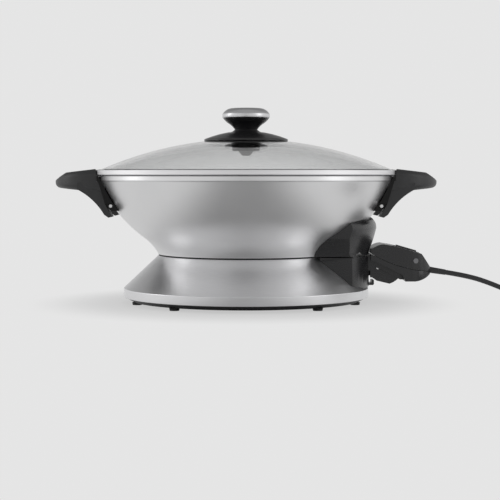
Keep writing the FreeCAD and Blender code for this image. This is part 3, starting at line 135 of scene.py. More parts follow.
class Graph(Nodes):
    """The node tree of one material, with its shader."""

    def __init__(self, name: str) -> None:
        """Makes a plain material.

        Args:
            name: the material's name.
        """
        self.material = bpy.data.materials.new(name)
        self.material.use_nodes = True
        super().__init__(self.material.node_tree)
        self.shader = self.tree.nodes["Principled BSDF"]
        self.output = self.tree.nodes["Material Output"]

    def mapped(self, vector: Socket, scale: Sequence[float]) -> Socket:
        """Stretches coordinates.

        Args:
            vector: the coordinates.
            scale: the factor along each axis.

        Returns:
            The vector socket.
        """
        mapping = self.node("Mapping")
        mapping.inputs["Scale"].default_value = scale
        self.link(vector, mapping.inputs["Vector"])
        return mapping.outputs["Vector"]

    def place(self, scale: Sequence[float] = WHOLE) -> Socket:
        """Object coordinates, stretched."""
        return self.mapped(self.node("TexCoord").outputs["Object"], scale)

    def ring_place(self, scale: Sequence[float]) -> Socket:
        """Coordinates for marks that go round the upright axis.

        Args:
            scale: the factors of the radius, of the turn and of the height.

        Returns:
            The vector socket.
        """
        parts = self.node("SeparateXYZ")
        self.link(self.node("TexCoord").outputs["Object"], parts.inputs["Vector"])
        flat = self.node("CombineXYZ")
        self.link(parts.outputs["X"], flat.inputs["X"])
        self.link(parts.outputs["Y"], flat.inputs["Y"])
        radius = self.node("VectorMath", operation="LENGTH")
        self.link(flat.outputs["Vector"], radius.inputs[0])
        whole = self.node("CombineXYZ")
        self.link(radius.outputs["Value"], whole.inputs["X"])
        self.link(self.maths("ARCTAN2", parts.outputs["Y"], parts.outputs["X"]), whole.inputs["Y"])
        self.link(parts.outputs["Z"], whole.inputs["Z"])
        return self.mapped(whole.outputs["Vector"], scale)

    def noise(self, vector: Socket, scale: float, detail: float) -> Socket:
        """A noise pattern.

        Args:
            vector: its coordinates.
            scale: its fineness.
            detail: its octaves.

        Returns:
            The value socket, from 0 to 1.
        """
        texture = self.node("TexNoise")
        texture.inputs["Scale"].default_value = scale
        texture.inputs["Detail"].default_value = detail
        self.link(vector, texture.inputs["Vector"])
        return texture.outputs["Fac"]

    def spread(self, source: Socket, low: float, high: float) -> Socket:
        """Maps the middle of a noise to a range."""
        return self.ranged(source, (0.3, 0.7), (low, high))

    def shade(self, source: Socket, colour: Sequence[float], change: float) -> None:
        """Colours the shader with two near shades of a colour.

        Args:
            source: the value that mixes them.
            colour: the mean colour.
            change: how far each shade lies from it, as a share.
        """
        ramp = self.node("ValToRGB")
        darker = [part * (1 - change) for part in colour]
        lighter = [min(1.0, part * (1 + change)) for part in colour]
        ramp.color_ramp.elements[0].position = 0.3
        ramp.color_ramp.elements[0].color = (*darker, 1)
        ramp.color_ramp.elements[1].position = 0.7
        ramp.color_ramp.elements[1].color = (*lighter, 1)
        self.link(source, ramp.inputs["Fac"])
        self.link(ramp.outputs["Color"], self.shader.inputs["Base Color"])

    def bump(self, source: Socket, strength: float, distance: float) -> None:
        """Raises the surface by a pattern.

        Args:
            source: the height.
            strength: the bump's strength.
            distance: the bump's depth in metres.
        """
        bump = self.node("Bump")
        bump.inputs["Strength"].default_value = strength
        bump.inputs["Distance"].default_value = distance
        self.link(source, bump.inputs["Height"])
        self.link(bump.outputs["Normal"], self.shader.inputs["Normal"])


@dataclass(frozen=True)
class BrushedSteel:
    """Sheet steel with fine brush lines round the upright axis."""

    name: str
    colour: Point = (0.62, 0.62, 0.63)
    roughness: float = 0.3
    fineness: float = 2600.0
    streak: float = 0.6
    line_turn: float = 0.004
    line_shade: float = 0.03
    line_rough: float = 0.012
    line_strength: float = 0.01
    line_depth: float = 0.00002
    cloud_scale: float = 14.0
    cloud_rough: float = 0.01

    def material(self) -> bpy.types.Material:
        """Makes the finish.

        Returns:
            Its material.
        """
        graph = Graph(self.name)
        lines = graph.noise(graph.ring_place((1.0, self.line_turn, 1.0)), self.fineness, detail=3.0)
        cloud = graph.noise(graph.place(), self.cloud_scale, detail=2.0)
        graph.shader.inputs["Metallic"].default_value = 1.0
        graph.shade(lines, self.colour, self.line_shade)
        fine = graph.spread(lines, self.roughness - self.line_rough, self.roughness + self.line_rough)
        broad = graph.spread(cloud, -self.cloud_rough, self.cloud_rough)
        graph.link(graph.maths("ADD", fine, broad), graph.shader.inputs["Roughness"])
        graph.shader.inputs["Anisotropic"].default_value = self.streak
        round_axis = graph.node("Tangent", direction_type="RADIAL", axis="Z")
        graph.link(round_axis.outputs["Tangent"], graph.shader.inputs["Tangent"])
        graph.bump(lines, self.line_strength, self.line_depth)
        return graph.material


@dataclass(frozen=True)
class SatinCast:
    """Die-cast aluminium with a fine satin surface."""

    name: str
    colour: Point = (0.74, 0.74, 0.745)
    roughness: float = 0.36
    grain_scale: float = 1900.0
    grain_strength: float = 0.15
    grain_depth: float = 0.00005
    cloud_scale: float = 9.0
    cloud_height: float = 1.6
    cloud_change: float = 0.03

    def material(self) -> bpy.types.Material:
        """Makes the finish.

        Returns:
            Its material.
        """
        graph = Graph(self.name)
        grain = graph.noise(graph.place(), self.grain_scale, detail=2.0)
        cloud = graph.noise(graph.place((1.0, 1.0, self.cloud_height)), self.cloud_scale, detail=3.0)
        graph.shader.inputs["Metallic"].default_value = 1.0
        graph.shade(cloud, self.colour, self.cloud_change)
        rough = graph.spread(cloud, self.roughness - self.cloud_change, self.roughness + self.cloud_change)
        graph.link(rough, graph.shader.inputs["Roughness"])
        graph.bump(grain, self.grain_strength, self.grain_depth)
        return graph.material


@dataclass(frozen=True)
class MouldedPlastic:
    """Moulded plastic, paint or rubber with a fine grain."""

    name: str
    colour: Point = (0.022, 0.022, 0.024)
    roughness: float = 0.42
    grain_depth: float = 0.00006
    gloss: float = 0.5
    grain_scale: float = 1500.0
    grain_strength: float = 0.25
    smoother: float = 0.04
    rougher: float = 0.05
    cloud_scale: float = 30.0
    cloud_change: float = 0.12

    def material(self) -> bpy.types.Material:
        """Makes the finish.

        Returns:
            Its material.
        """
        graph = Graph(self.name)
        grain = graph.noise(graph.place(), self.grain_scale, detail=2.0)
        cloud = graph.noise(graph.place(), self.cloud_scale, detail=3.0)
        graph.shade(cloud, self.colour, self.cloud_change)
        rough = graph.spread(grain, self.roughness - self.smoother, self.roughness + self.rougher)
        graph.link(rough, graph.shader.inputs["Roughness"])
        graph.shader.inputs["Specular IOR Level"].default_value = self.gloss
        graph.bump(grain, self.grain_strength, self.grain_depth)
        return graph.material


@dataclass(frozen=True)
class ClearGlass:
    """Tempered glass, faintly grey and faintly uneven."""

    name: str
    colour: Point = (0.98, 0.985, 0.985)
    roughness: float = 0.01
    density: float = 2.0
    ior: float = 1.46
    wave_scale: float = 7.0
    wave_shade: float = 0.01

    def material(self) -> bpy.types.Material:
        """Makes the finish.

        Returns:
            Its material.
        """
        graph = Graph(self.name)
        wave = graph.noise(graph.place(), self.wave_scale, detail=1.0)
        graph.shade(wave, self.colour, self.wave_shade)
        graph.shader.inputs["Transmission Weight"].default_value = 1.0
        graph.link(graph.spread(wave, self.roughness, self.roughness * 2), graph.shader.inputs["Roughness"])
        graph.shader.inputs["IOR"].default_value = self.ior
        depth = graph.node("VolumeAbsorption")
        depth.inputs["Color"].default_value = (0.0, 0.0, 0.0, 1)
        depth.inputs["Density"].default_value = self.density
        graph.link(depth.outputs["Volume"], graph.output.inputs["Volume"])
        return graph.material


@dataclass(frozen=True)
class FiredClay:
    """Unglazed insulating ceramic."""

    name: str
    colour: Point = (0.74, 0.71, 0.62)
    speck_scale: float = 420.0
    speck_shade: float = 0.08
    speck_strength: float = 0.2
    speck_depth: float = 0.0001
    smoothest: float = 0.6
    roughest: float = 0.8

    def material(self) -> bpy.types.Material:
        """Makes the finish.

        Returns:
            Its material.
        """
        graph = Graph(self.name)
        specks = graph.noise(graph.place(), self.speck_scale, detail=4.0)
        graph.shade(specks, self.colour, self.speck_shade)
        graph.link(graph.spread(specks, self.smoothest, self.roughest), graph.shader.inputs["Roughness"])
        graph.bump(specks, self.speck_strength, self.speck_depth)
        return graph.material


class Finish(Enum):
    """Every finish: one for each material slot of the record, the coating's, and a near-black one that
    paints the seam's shade.
    """

    SKIRT_STEEL = BrushedSteel("skirt_steel", (0.74, 0.74, 0.75), 0.3)
    INNER_STEEL = BrushedSteel("inner_steel", (0.42, 0.42, 0.43), 0.45, 900.0)
    DARK_PAN = MouldedPlastic("dark_pan", (0.03, 0.03, 0.032), 0.5, 0.00003)
    FOOT_RUBBER = MouldedPlastic("foot_rubber", (0.018, 0.018, 0.018), 0.7, 0.0001)
    SCREW_STEEL = BrushedSteel("screw_steel", (0.66, 0.66, 0.66), 0.25, 1800.0)
    BOWL_CAST = SatinCast("bowl_cast")
    ELEMENT_STEEL = BrushedSteel("element_steel", (0.16, 0.15, 0.14), 0.5, 700.0)
    BLOCK_CERAMIC = FiredClay("block_ceramic")
    CONTACT_METAL = BrushedSteel("contact_metal", (0.78, 0.7, 0.5), 0.28, 2000.0)
    SOCKET_PLASTIC = MouldedPlastic("socket_plastic", (0.013, 0.013, 0.014), 0.26, 0.00002)
    HANDLE_PLASTIC = MouldedPlastic("handle_plastic", (0.022, 0.022, 0.023), 0.45, 0.00008)
    # Near-black gloss paint of the handle brackets; the web plates wear it too, partly as painted shade of
    # the gap they fill.
    BRACKET_PAINT = MouldedPlastic("bracket_paint", (0.006, 0.006, 0.006), 0.25, 0.00002, 0.2)
    COOKING_COAT = MouldedPlastic("cooking_coat", (0.035, 0.035, 0.036), 0.32, 0.00002)
    # Near-black ring colour: painted shade of the seam gap between bowl and base.
    SEAL_RUBBER = MouldedPlastic("seam_shade", (0.006, 0.006, 0.006), 0.6, 0.00002, 0.3)
    LID_GLASS = ClearGlass("lid_glass")
    LID_STEEL = BrushedSteel("lid_steel", (0.78, 0.78, 0.79), 0.42, 2200.0)
    KNOB_PLASTIC = MouldedPlastic("knob_plastic", (0.012, 0.012, 0.013), 0.3, 0.00003)
    KNOB_STEEL = BrushedSteel("knob_steel", (0.62, 0.62, 0.63), 0.28, 2400.0)
    WASHER_SILICONE = MouldedPlastic("washer_silicone", (0.62, 0.62, 0.6), 0.5, 0.00003)
    CONTROL_PLASTIC = MouldedPlastic("control_plastic", (0.015, 0.015, 0.016), 0.26, 0.00002)
    SENSOR_STEEL = BrushedSteel("sensor_steel", (0.66, 0.66, 0.67), 0.24, 2000.0)
    LENS_PLASTIC = MouldedPlastic("lens_plastic", (0.2, 0.2, 0.21), 0.15, 0.00001, 0.8)
    DIAL_PLASTIC = MouldedPlastic("dial_plastic", (0.024, 0.024, 0.025), 0.3, 0.00003)
    CORD_RUBBER = MouldedPlastic("cord_rubber", (0.02, 0.02, 0.021), 0.5, 0.00004)


MATERIALS = {finish: finish.value.material() for finish in Finish}


# Modelling tools

def only(item: Item) -> None:
    """Selects one object alone and makes it the active one.

    Args:
        item: the object.
    """
    bpy.ops.object.select_all(action="DESELECT")
    item.select_set(True)
    bpy.context.view_layer.objects.active = item


@contextmanager
def edited(item: Item) -> Iterator[None]:
    """Opens an object alone in edit mode, all of it selected, and closes it afterwards.

    Args:
        item: the object.

    Returns:
        The open object's context.
    """
    only(item)
    bpy.ops.object.mode_set(mode="EDIT")
    bpy.ops.mesh.select_all(action="SELECT")
    yield
    bpy.ops.object.mode_set(mode="OBJECT")


def arc_points(start: Corner, end: Corner, bend: float, step: float) -> list[Vector]:
    """Points inside the shorter arc between two corners.

    Args:
        start: the arc's first corner.
        end: the arc's last corner.
        bend: its radius, negative where its centre is on the way's right.
        step: the angle between points, in degrees.

    Returns:
        The points between the two corners, without them.
    """
    first, last = Vector(start[:2]), Vector(end[:2])
    chord = last - first
    half = chord.length / 2
    left = Vector((-chord.y, chord.x)).normalized()
    rise = math.sqrt(max(bend * bend - half * half, 0.0))
    centre = (first + last) / 2 + left * math.copysign(rise, bend)
    arm = first - centre
    turning = 2 * math.asin(min(1.0, half / abs(bend))) * math.copysign(1.0, bend)
    count = max(2, int(math.degrees(abs(turning)) / step) + 1)
    points = []
    for number in range(1, count):
        angle = turning * number / count
        points.append(centre + Vector((
            arm.x * math.cos(angle) - arm.y * math.sin(angle),
            arm.x * math.sin(angle) + arm.y * math.cos(angle),
        )))
    return points


def drawn(corners: Sequence[Corner], step: float = 4.0) -> list[Vector]:
    """An outline's points, with its arcs divided.

    Args:
        corners: (out, up) or (out, up, bend to the next corner), in millimetres.
        step: the angle between an arc's points, in degrees.

    Returns:
        The points, in millimetres.
    """
    points = []
    for number, corner in enumerate(corners):
        points.append(Vector(corner[:2]))
        if len(corner) == 3:
            points += arc_points(corner, corners[(number + 1) % len(corners)], corner[2], step)
    return points


def finish_shape(item: Item, angle: float = 32.0) -> Item:
    """Merges an object's doubled points, turns its faces outwards and smooths its soft edges.

    Args:
        item: the object.
        angle: edges that turn by less than this many degrees look smooth.

    Returns:
        The object.
    """
    with edited(item):
        bpy.ops.mesh.remove_doubles(threshold=SAME_POINT)
        bpy.ops.mesh.normals_make_consistent(inside=False)
    bpy.ops.object.shade_smooth_by_angle(angle=math.radians(angle))
    return item


def wire(name: str, points: Sequence[Vector], closed: bool) -> Item:
    """Starts a piece as a line of edges, left in edit mode with all of it selected.

    Args:
        name: the piece's name.
        points: the line's points in metres.
        closed: whether the last point joins the first.

    Returns:
        The piece.
    """
    bpy.ops.object.select_all(action="DESELECT")
    bpy.ops.mesh.primitive_circle_add(vertices=3, radius=MM, location=(0, 0, 0))
    item = bpy.context.object
    item.name = name
    bpy.ops.object.mode_set(mode="EDIT")
    bpy.ops.mesh.select_all(action="SELECT")
    bpy.ops.mesh.merge(type="CENTER")
    bpy.ops.transform.translate(value=points[0])
    ends = [*points[1:], points[0]] if closed else points[1:]
    for before, after in zip(points, ends):
        bpy.ops.mesh.extrude_region_move(TRANSFORM_OT_translate={"value": after - before})
    bpy.ops.mesh.select_all(action="SELECT")
    return item


def lathe(name: str, corners: Sequence[Corner], rounding: float = 0.0, closed: bool = False,
          segments: int = 192, step: float = 4.0) -> Item:
    """A piece turned round the upright axis.

    Args:
        name: the piece's name.
        corners: its outline, as drawn takes it.
        rounding: the radius of its sharp edges in millimetres, or 0 for none.
        closed: whether the outline's end joins its start.
        segments: the faces round the axis.
        step: the angle between an arc's points, in degrees.

    Returns:
        The piece.
    """
    points = [Vector((point.x * MM, 0.0, point.y * MM)) for point in drawn(corners, step)]
    item = wire(name, points, closed)
    bpy.ops.mesh.spin(steps=segments, angle=math.tau, center=(0, 0, 0), axis=(0, 0, 1))
    bpy.ops.object.mode_set(mode="OBJECT")
    finish_shape(item)
    if rounding:
        round_off(item, rounding)
    return item


def plate(name: str, corners: Sequence[Corner], low: float, high: float) -> Item:
    """A flat piece between two planes across the wok.

    Args:
        name: the piece's name.
        corners: its outline as (right, up), or with a bend, in millimetres.
        low: its first face's place along Y, in millimetres.
        high: its last face's place along Y, in millimetres.

    Returns:
        The piece.
    """
    points = [Vector((point.x * MM, low * MM, point.y * MM)) for point in drawn(corners)]
    item = wire(name, points, closed=True)
    bpy.ops.mesh.remove_doubles(threshold=SAME_POINT)
    bpy.ops.mesh.edge_face_add()
    bpy.ops.mesh.extrude_region_move(TRANSFORM_OT_translate={"value": (0, (high - low) * MM, 0)})
    bpy.ops.object.mode_set(mode="OBJECT")
    return finish_shape(item)


def round_off(item: Item, radius: float, angle: float = 32.0, segments: int = 3) -> Item:
    """Rounds an object's sharp edges.

    Args:
        item: the object.
        radius: the rounding in millimetres.
        angle: the least turn of an edge that is rounded, in degrees.
        segments: the faces across the rounding.

    Returns:
        The object.
    """
    only(item)
    bevel = item.modifiers.new("rounding", "BEVEL")
    bevel.width = radius * MM
    bevel.segments = segments
    bevel.limit_method = "ANGLE"
    bevel.angle_limit = math.radians(angle)
    bevel.use_clamp_overlap = True
    bevel.harden_normals = False
    bpy.ops.object.modifier_apply(modifier=bevel.name)
    bpy.ops.object.shade_smooth_by_angle(angle=math.radians(angle))
    return item


def merge_flats(item: Item) -> Item:
    """Joins an object's triangles into its flat faces.

    Args:
        item: the object.

    Returns:
        The object.
    """
    with edited(item):
        bpy.ops.mesh.dissolve_limited(angle_limit=math.radians(FLAT_ANGLE))
    return item


def trim(item: Item, place: Sequence[float], way: Sequence[float]) -> Item:
    """Cuts away what lies beyond a plane, and closes the cut.

    Args:
        item: the object.
        place: a point of the plane in millimetres.
        way: the plane's normal, towards what goes.

    Returns:
        The object.
    """
    with edited(item):
        bpy.ops.mesh.bisect(plane_co=[part * MM for part in place], plane_no=way,
                            use_fill=True, clear_outer=True)
    return item


def squeeze(item: Item, place: Sequence[float], pull: float) -> Item:
    """Draws in one row of an object's points, across the row's middle.

    Args:
        item: the object, with nothing of it selected.
        place: the row's middle in millimetres.
        pull: the factor of its width.

    Returns:
        The object.
    """
    only(item)
    for vertex in item.data.vertices:
        vertex.select = abs(vertex.co.y / MM - place[1]) < 0.1
    bpy.ops.object.mode_set(mode="EDIT")
    bpy.ops.transform.resize(value=(pull, 1, 1), center_override=[part * MM for part in place])
    bpy.ops.object.mode_set(mode="OBJECT")
    return item


def soften(item: Item, ahead: float, reach: float, radius: float) -> Item:
    """Rounds the steep sharp edges that lie far to the right and far out to front and back.

    Args:
        item: the object.
        ahead: how far to the right they start, in millimetres.
        reach: how far from the wok's middle plane they start, in millimetres.
        radius: the width of the rounding in millimetres.

    Returns:
        The object.
    """
    with edited(merge_flats(item)):
        bpy.ops.mesh.select_all(action="DESELECT")
        bpy.ops.mesh.select_mode(type="EDGE")
        bpy.ops.mesh.edges_select_sharp(sharpness=math.radians(28.0))
    points = item.data.vertices
    for edge in item.data.edges:
        first, last = (points[index].co for index in edge.vertices)
        steep = abs(last.z - first.z) > STEEP * (last - first).length
        outside = min(abs(first.y), abs(last.y)) > reach * MM
        right = min(first.x, last.x) > ahead * MM
        edge.select = edge.select and steep and outside and right
    bpy.ops.object.mode_set(mode="EDIT")
    bpy.ops.mesh.bevel(offset=radius * MM, segments=6, affect="EDGES", clamp_overlap=True)
    bpy.ops.mesh.select_mode(type="VERT")
    bpy.ops.object.mode_set(mode="OBJECT")
    return item


def box_tool(low: Sequence[float], high: Sequence[float]) -> Item:
    """A box for cutting.

    Args:
        low: its lowest corner in millimetres.
        high: its highest corner in millimetres.

    Returns:
        The box.
    """
    middle = [(a + b) / 2 * MM for a, b in zip(low, high)]
    bpy.ops.object.select_all(action="DESELECT")
    bpy.ops.mesh.primitive_cube_add(size=1, location=middle)
    tool = bpy.context.object
    tool.scale = [(b - a) * MM for a, b in zip(low, high)]
    bpy.ops.object.transform_apply(location=True, rotation=True, scale=True)
    return tool


def carve(item: Item, tool: Item) -> Item:
    """Cuts a tool out of an object, and deletes the tool.

    Args:
        item: the object.
        tool: the tool.

    Returns:
        The object.
    """
    only(item)
    cut = item.modifiers.new("cut", "BOOLEAN")
    cut.operation = "DIFFERENCE"
    cut.solver = "EXACT"
    cut.object = tool
    bpy.ops.object.modifier_apply(modifier=cut.name)
    bpy.data.objects.remove(tool, do_unlink=True)
    return item


def taken_up(name: str, node: str, radius: float = 0.0, angle: float = 28.0) -> Item:
    """A merged copy of a CAD node's mesh, with its sharp edges rounded.

    Args:
        name: the new piece's name.
        node: the CAD node.
        radius: the rounding in millimetres, or 0 for none.
        angle: the least turn of an edge that counts as sharp, in degrees.

    Returns:
        The new piece.
    """
    item = bpy.data.objects.new(name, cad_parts[node].data.copy())
    item.data.materials.clear()
    bpy.context.scene.collection.objects.link(item)
    finish_shape(item, angle)
    if radius:
        round_off(merge_flats(item), radius, angle)
    return item


def mirrored(source: Item, name: str, factors: Sequence[float]) -> Item:
    """A copy of a piece, mirrored at the wok's middle planes.

    Args:
        source: the piece.
        name: the copy's name.
        factors: 1 or -1 along each axis.

    Returns:
        The copy, with a mesh of its own.
    """
    item = bpy.data.objects.new(name, source.data.copy())
    bpy.context.scene.collection.objects.link(item)
    with edited(item):
        bpy.ops.transform.resize(value=factors, center_override=(0, 0, 0))
        bpy.ops.mesh.normals_make_consistent(inside=False)
    return item


def moved(item: Item, matrix: Matrix) -> Item:
    """Puts an object's mesh in place, and leaves the object at the origin.

    Args:
        item: the object.
        matrix: the mesh's new place.

    Returns:
        The object.
    """
    item.data.transform(matrix)
    item.data.update()
    return item


def fit_out(item: Item, body: Body, finish: Finish, *nodes: str) -> Item:
    """Dresses a piece and puts it on its body.

    Args:
        item: the piece.
        body: the body that it rides on.
        finish: its finish.
        nodes: the CAD nodes that it stands for.

    Returns:
        The piece.
    """
    item.data.materials.clear()
    item.data.materials.append(MATERIALS[finish])
    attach(item, body.value)
    if nodes:
        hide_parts(*nodes)
    log.info("%s: on %s, %s", item.name, body.value, finish.value.name)
    return item


def dress(finishes: dict[str, Finish]) -> None:
    """Gives CAD nodes that stay their finish.

    Args:
        finishes: each node's finish.
    """
    for node, finish in finishes.items():
        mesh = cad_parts[node].data
        mesh.materials.clear()
        mesh.materials.append(MATERIALS[finish])
        log.info("%s: CAD node, %s", node, finish.value.name)


# Camera, cord and studio

@dataclass
class Camera:
    """The photographer's camera: level, in front of the wok."""

    distance: float = 1.687
    height: float = 0.1532
    focal_pixels: float = 1400.0
    axis_pixel: float = 246.1
    horizon_pixel: float = 175.0
    sensor: float = 36.0
    far_limit: float = 50.0

    def build(self) -> None:
        """Makes the scene's camera."""
        data = bpy.data.cameras.new("camera")
        data.sensor_width = self.sensor
        data.lens = self.focal_pixels / FRAME_PIXELS * self.sensor
        middle = FRAME_PIXELS / 2
        data.shift_x = (middle - self.axis_pixel) / FRAME_PIXELS
        data.shift_y = (self.horizon_pixel - middle) / FRAME_PIXELS
        data.clip_end = self.far_limit
        camera = bpy.data.objects.new("camera", data)
        camera.location = (0, -self.distance, self.height)
        camera.rotation_euler = (math.pi / 2, 0, 0)
        bpy.context.scene.collection.objects.link(camera)
        bpy.context.scene.camera = camera


@dataclass
class MainsCord:
    """The cord from the heat control, its coil and its plug, in millimetres."""

    radius: float = 3.0
    coil_x: float = 340.0
    coil_y: float = -90.0
    coil_radius: float = 41.0
    pitch: float = 7.4
    rise: float = 7.0
    tail: float = 10.0
    low: float = 3.3
    inward_halves: int = 4
    outward_halves: int = 5
    points_per_half: int = 8
    relief_length: float = 24.0
    relief_radius: float = 4.6
    relief_play: float = 0.3
    relief_pinch: float = 0.2
    ribs: int = 6
    rib_dent: float = 0.7
    rib_ends: Span = (0.12, 0.55)
    dent_ends: Span = (0.62, 0.93)
    plug_length: float = 30.0
    plug_width: float = 24.0
    plug_height: float = 20.0
    plug_rounding: float = 3.0
    plug_waist: tuple[float, ...] = (0.967, 0.863, 0.864, 0.967, 0.998)
    guard_rounding: float = 0.3
    start: Point = (239.88, 0.0, 36.09)

    def route(self) -> list[Point]:
        """The way from the strain relief to the coil.

        Returns:
            The cord's points there.
        """
        end_x = self.coil_x + self.coil_radius
        end_y = self.coil_y + self.tail
        return [
            self.start,
            (268.5, 0.0, 31.55),
            (298.0, 0.0, self.low + 18.2),
            (326.0, -1.0, self.low + 5.7),
            (352.0, -7.0, self.low),
            (372.0, -22.0, self.low),
            (end_x, end_y + 27.0, self.low),
            (end_x, end_y, self.low),
        ]

    def turns(self) -> list[Point]:
        """The coil: inward on the floor, one climbing half turn, and outward on top.

        Returns:
            The cord's points there, and in the straight tail behind it.
        """
        spread = 1 / math.cos(math.pi / self.points_per_half / 2)
        points = []
        radius = self.coil_radius
        height = self.low
        for half in range(self.inward_halves + 1 + self.outward_halves):
            climbs = half == self.inward_halves
            change = 0.0 if climbs else math.copysign(self.pitch / 2, half - self.inward_halves)
            for number in range(self.points_per_half):
                share = (number + 0.5) / self.points_per_half
                angle = -math.pi * (half + share)
                out = (radius + change * share) * spread
                lift = self.rise * share * share * (3 - 2 * share) if climbs else 0.0
                points.append((self.coil_x + out * math.cos(angle), self.coil_y + out * math.sin(angle),
                               height + lift))
            radius += change
            height += self.rise if climbs else 0.0
        end_x = self.coil_x + radius
        points.append((end_x, self.coil_y - self.tail / 2, height))
        points.append((end_x, self.coil_y - self.tail, height))
        return points

    def build(self) -> None:
        """Makes the cord as one smooth line, and its plug."""
        curve = bpy.data.curves.new("mains_cord", "CURVE")
        curve.dimensions = "3D"
        spline = curve.splines.new("NURBS")
        points = self.route() + self.turns()
        spline.points.add(len(points) - 1)
        for target, point in zip(spline.points, points):
            target.co = (*(part * MM for part in point), 1)
        spline.order_u = 3
        spline.use_endpoint_u = True
        spline.resolution_u = 6
        curve.bevel_depth = self.radius * MM
        curve.bevel_resolution = 5
        curve.use_fill_caps = True
        item = bpy.data.objects.new("mains_cord", curve)
        bpy.context.scene.collection.objects.link(item)
        fit_out(item, Body.CONTROL, Finish.CORD_RUBBER, "cord", "cord_coil")
        plug = self.plug()
        relief = self.plug_relief()
        guard = fit_out(taken_up("cord_guard", "strain_relief", self.guard_rounding), Body.CONTROL,
                        Finish.CORD_RUBBER, "strain_relief")
        dress({"plug_blades": Finish.CONTACT_METAL})

    def plug_place(self) -> Point:
        """The middle of the plug body's cord end."""
        out = self.coil_radius + (self.outward_halves - self.inward_halves) * self.pitch / 2
        return (self.coil_x + out, self.coil_y - self.tail - self.relief_length, self.low + self.rise)

    def plug(self) -> Item:
        """Makes the plug's body, drawn in at its waist for the fingers.

        Returns:
            The piece.
        """
        x, y, z = self.plug_place()
        half_width, half_height = self.plug_width / 2, self.plug_height / 2
        item = box_tool((x - half_width, y - self.plug_length, z - half_height),
                        (x + half_width, y, z + half_height))
        item.name = "plug_shell"
        with edited(item):
            bpy.ops.mesh.subdivide(number_cuts=len(self.plug_waist))
            bpy.ops.mesh.select_all(action="DESELECT")
        for row, pull in enumerate(self.plug_waist, start=1):
            back = self.plug_length * row / (len(self.plug_waist) + 1)
            squeeze(item, (x, y - back, z), pull)
        round_off(item, self.plug_rounding, 40.0, 4)
        return fit_out(item, Body.CONTROL, Finish.CORD_RUBBER, "plug_body")

    def plug_relief(self) -> Item:
        """Makes the ribbed sleeve behind the plug.

        Returns:
            The piece.
        """
        small, large = self.radius + self.relief_play, self.relief_radius
        inside = self.radius - self.relief_pinch
        corners: list[Corner] = [(inside, 0.0)]
        for rib in range(self.ribs):
            for places, dent in ((self.rib_ends, 0.0), (self.dent_ends, self.rib_dent)):
                for place in places:
                    share = (rib + place) / self.ribs
                    out = large + (small - large) * share - dent * (large - self.radius) / large
                    corners.append((out, share * self.relief_length))
        corners.append((inside, self.relief_length))
        item = lathe("plug_sleeve", corners, closed=True, segments=48)
        way = Matrix.Rotation(-math.pi / 2, 4, "X")
        moved(item, Matrix.Translation(Vector(self.plug_place()) * MM) @ way)
        return fit_out(item, Body.CONTROL, Finish.CORD_RUBBER, "plug_relief")


@dataclass(frozen=True)
class SoftBox:
    """A soft lamp that faces the wok, in metres and watts."""

    name: str
    place: Point
    size: Span
    power: float
    aim_height: float = 0.1

    def build(self) -> None:
        """Makes the lamp."""
        data = bpy.data.lights.new(self.name, "AREA")
        data.shape = "RECTANGLE"
        data.size, data.size_y = self.size
        data.energy = self.power
        item = bpy.data.objects.new(self.name, data)
        item.location = self.place
        towards = Vector((0, 0, self.aim_height)) - Vector(self.place)
        item.rotation_euler = towards.to_track_quat("-Z", "Y").to_euler()
        bpy.context.scene.collection.objects.link(item)


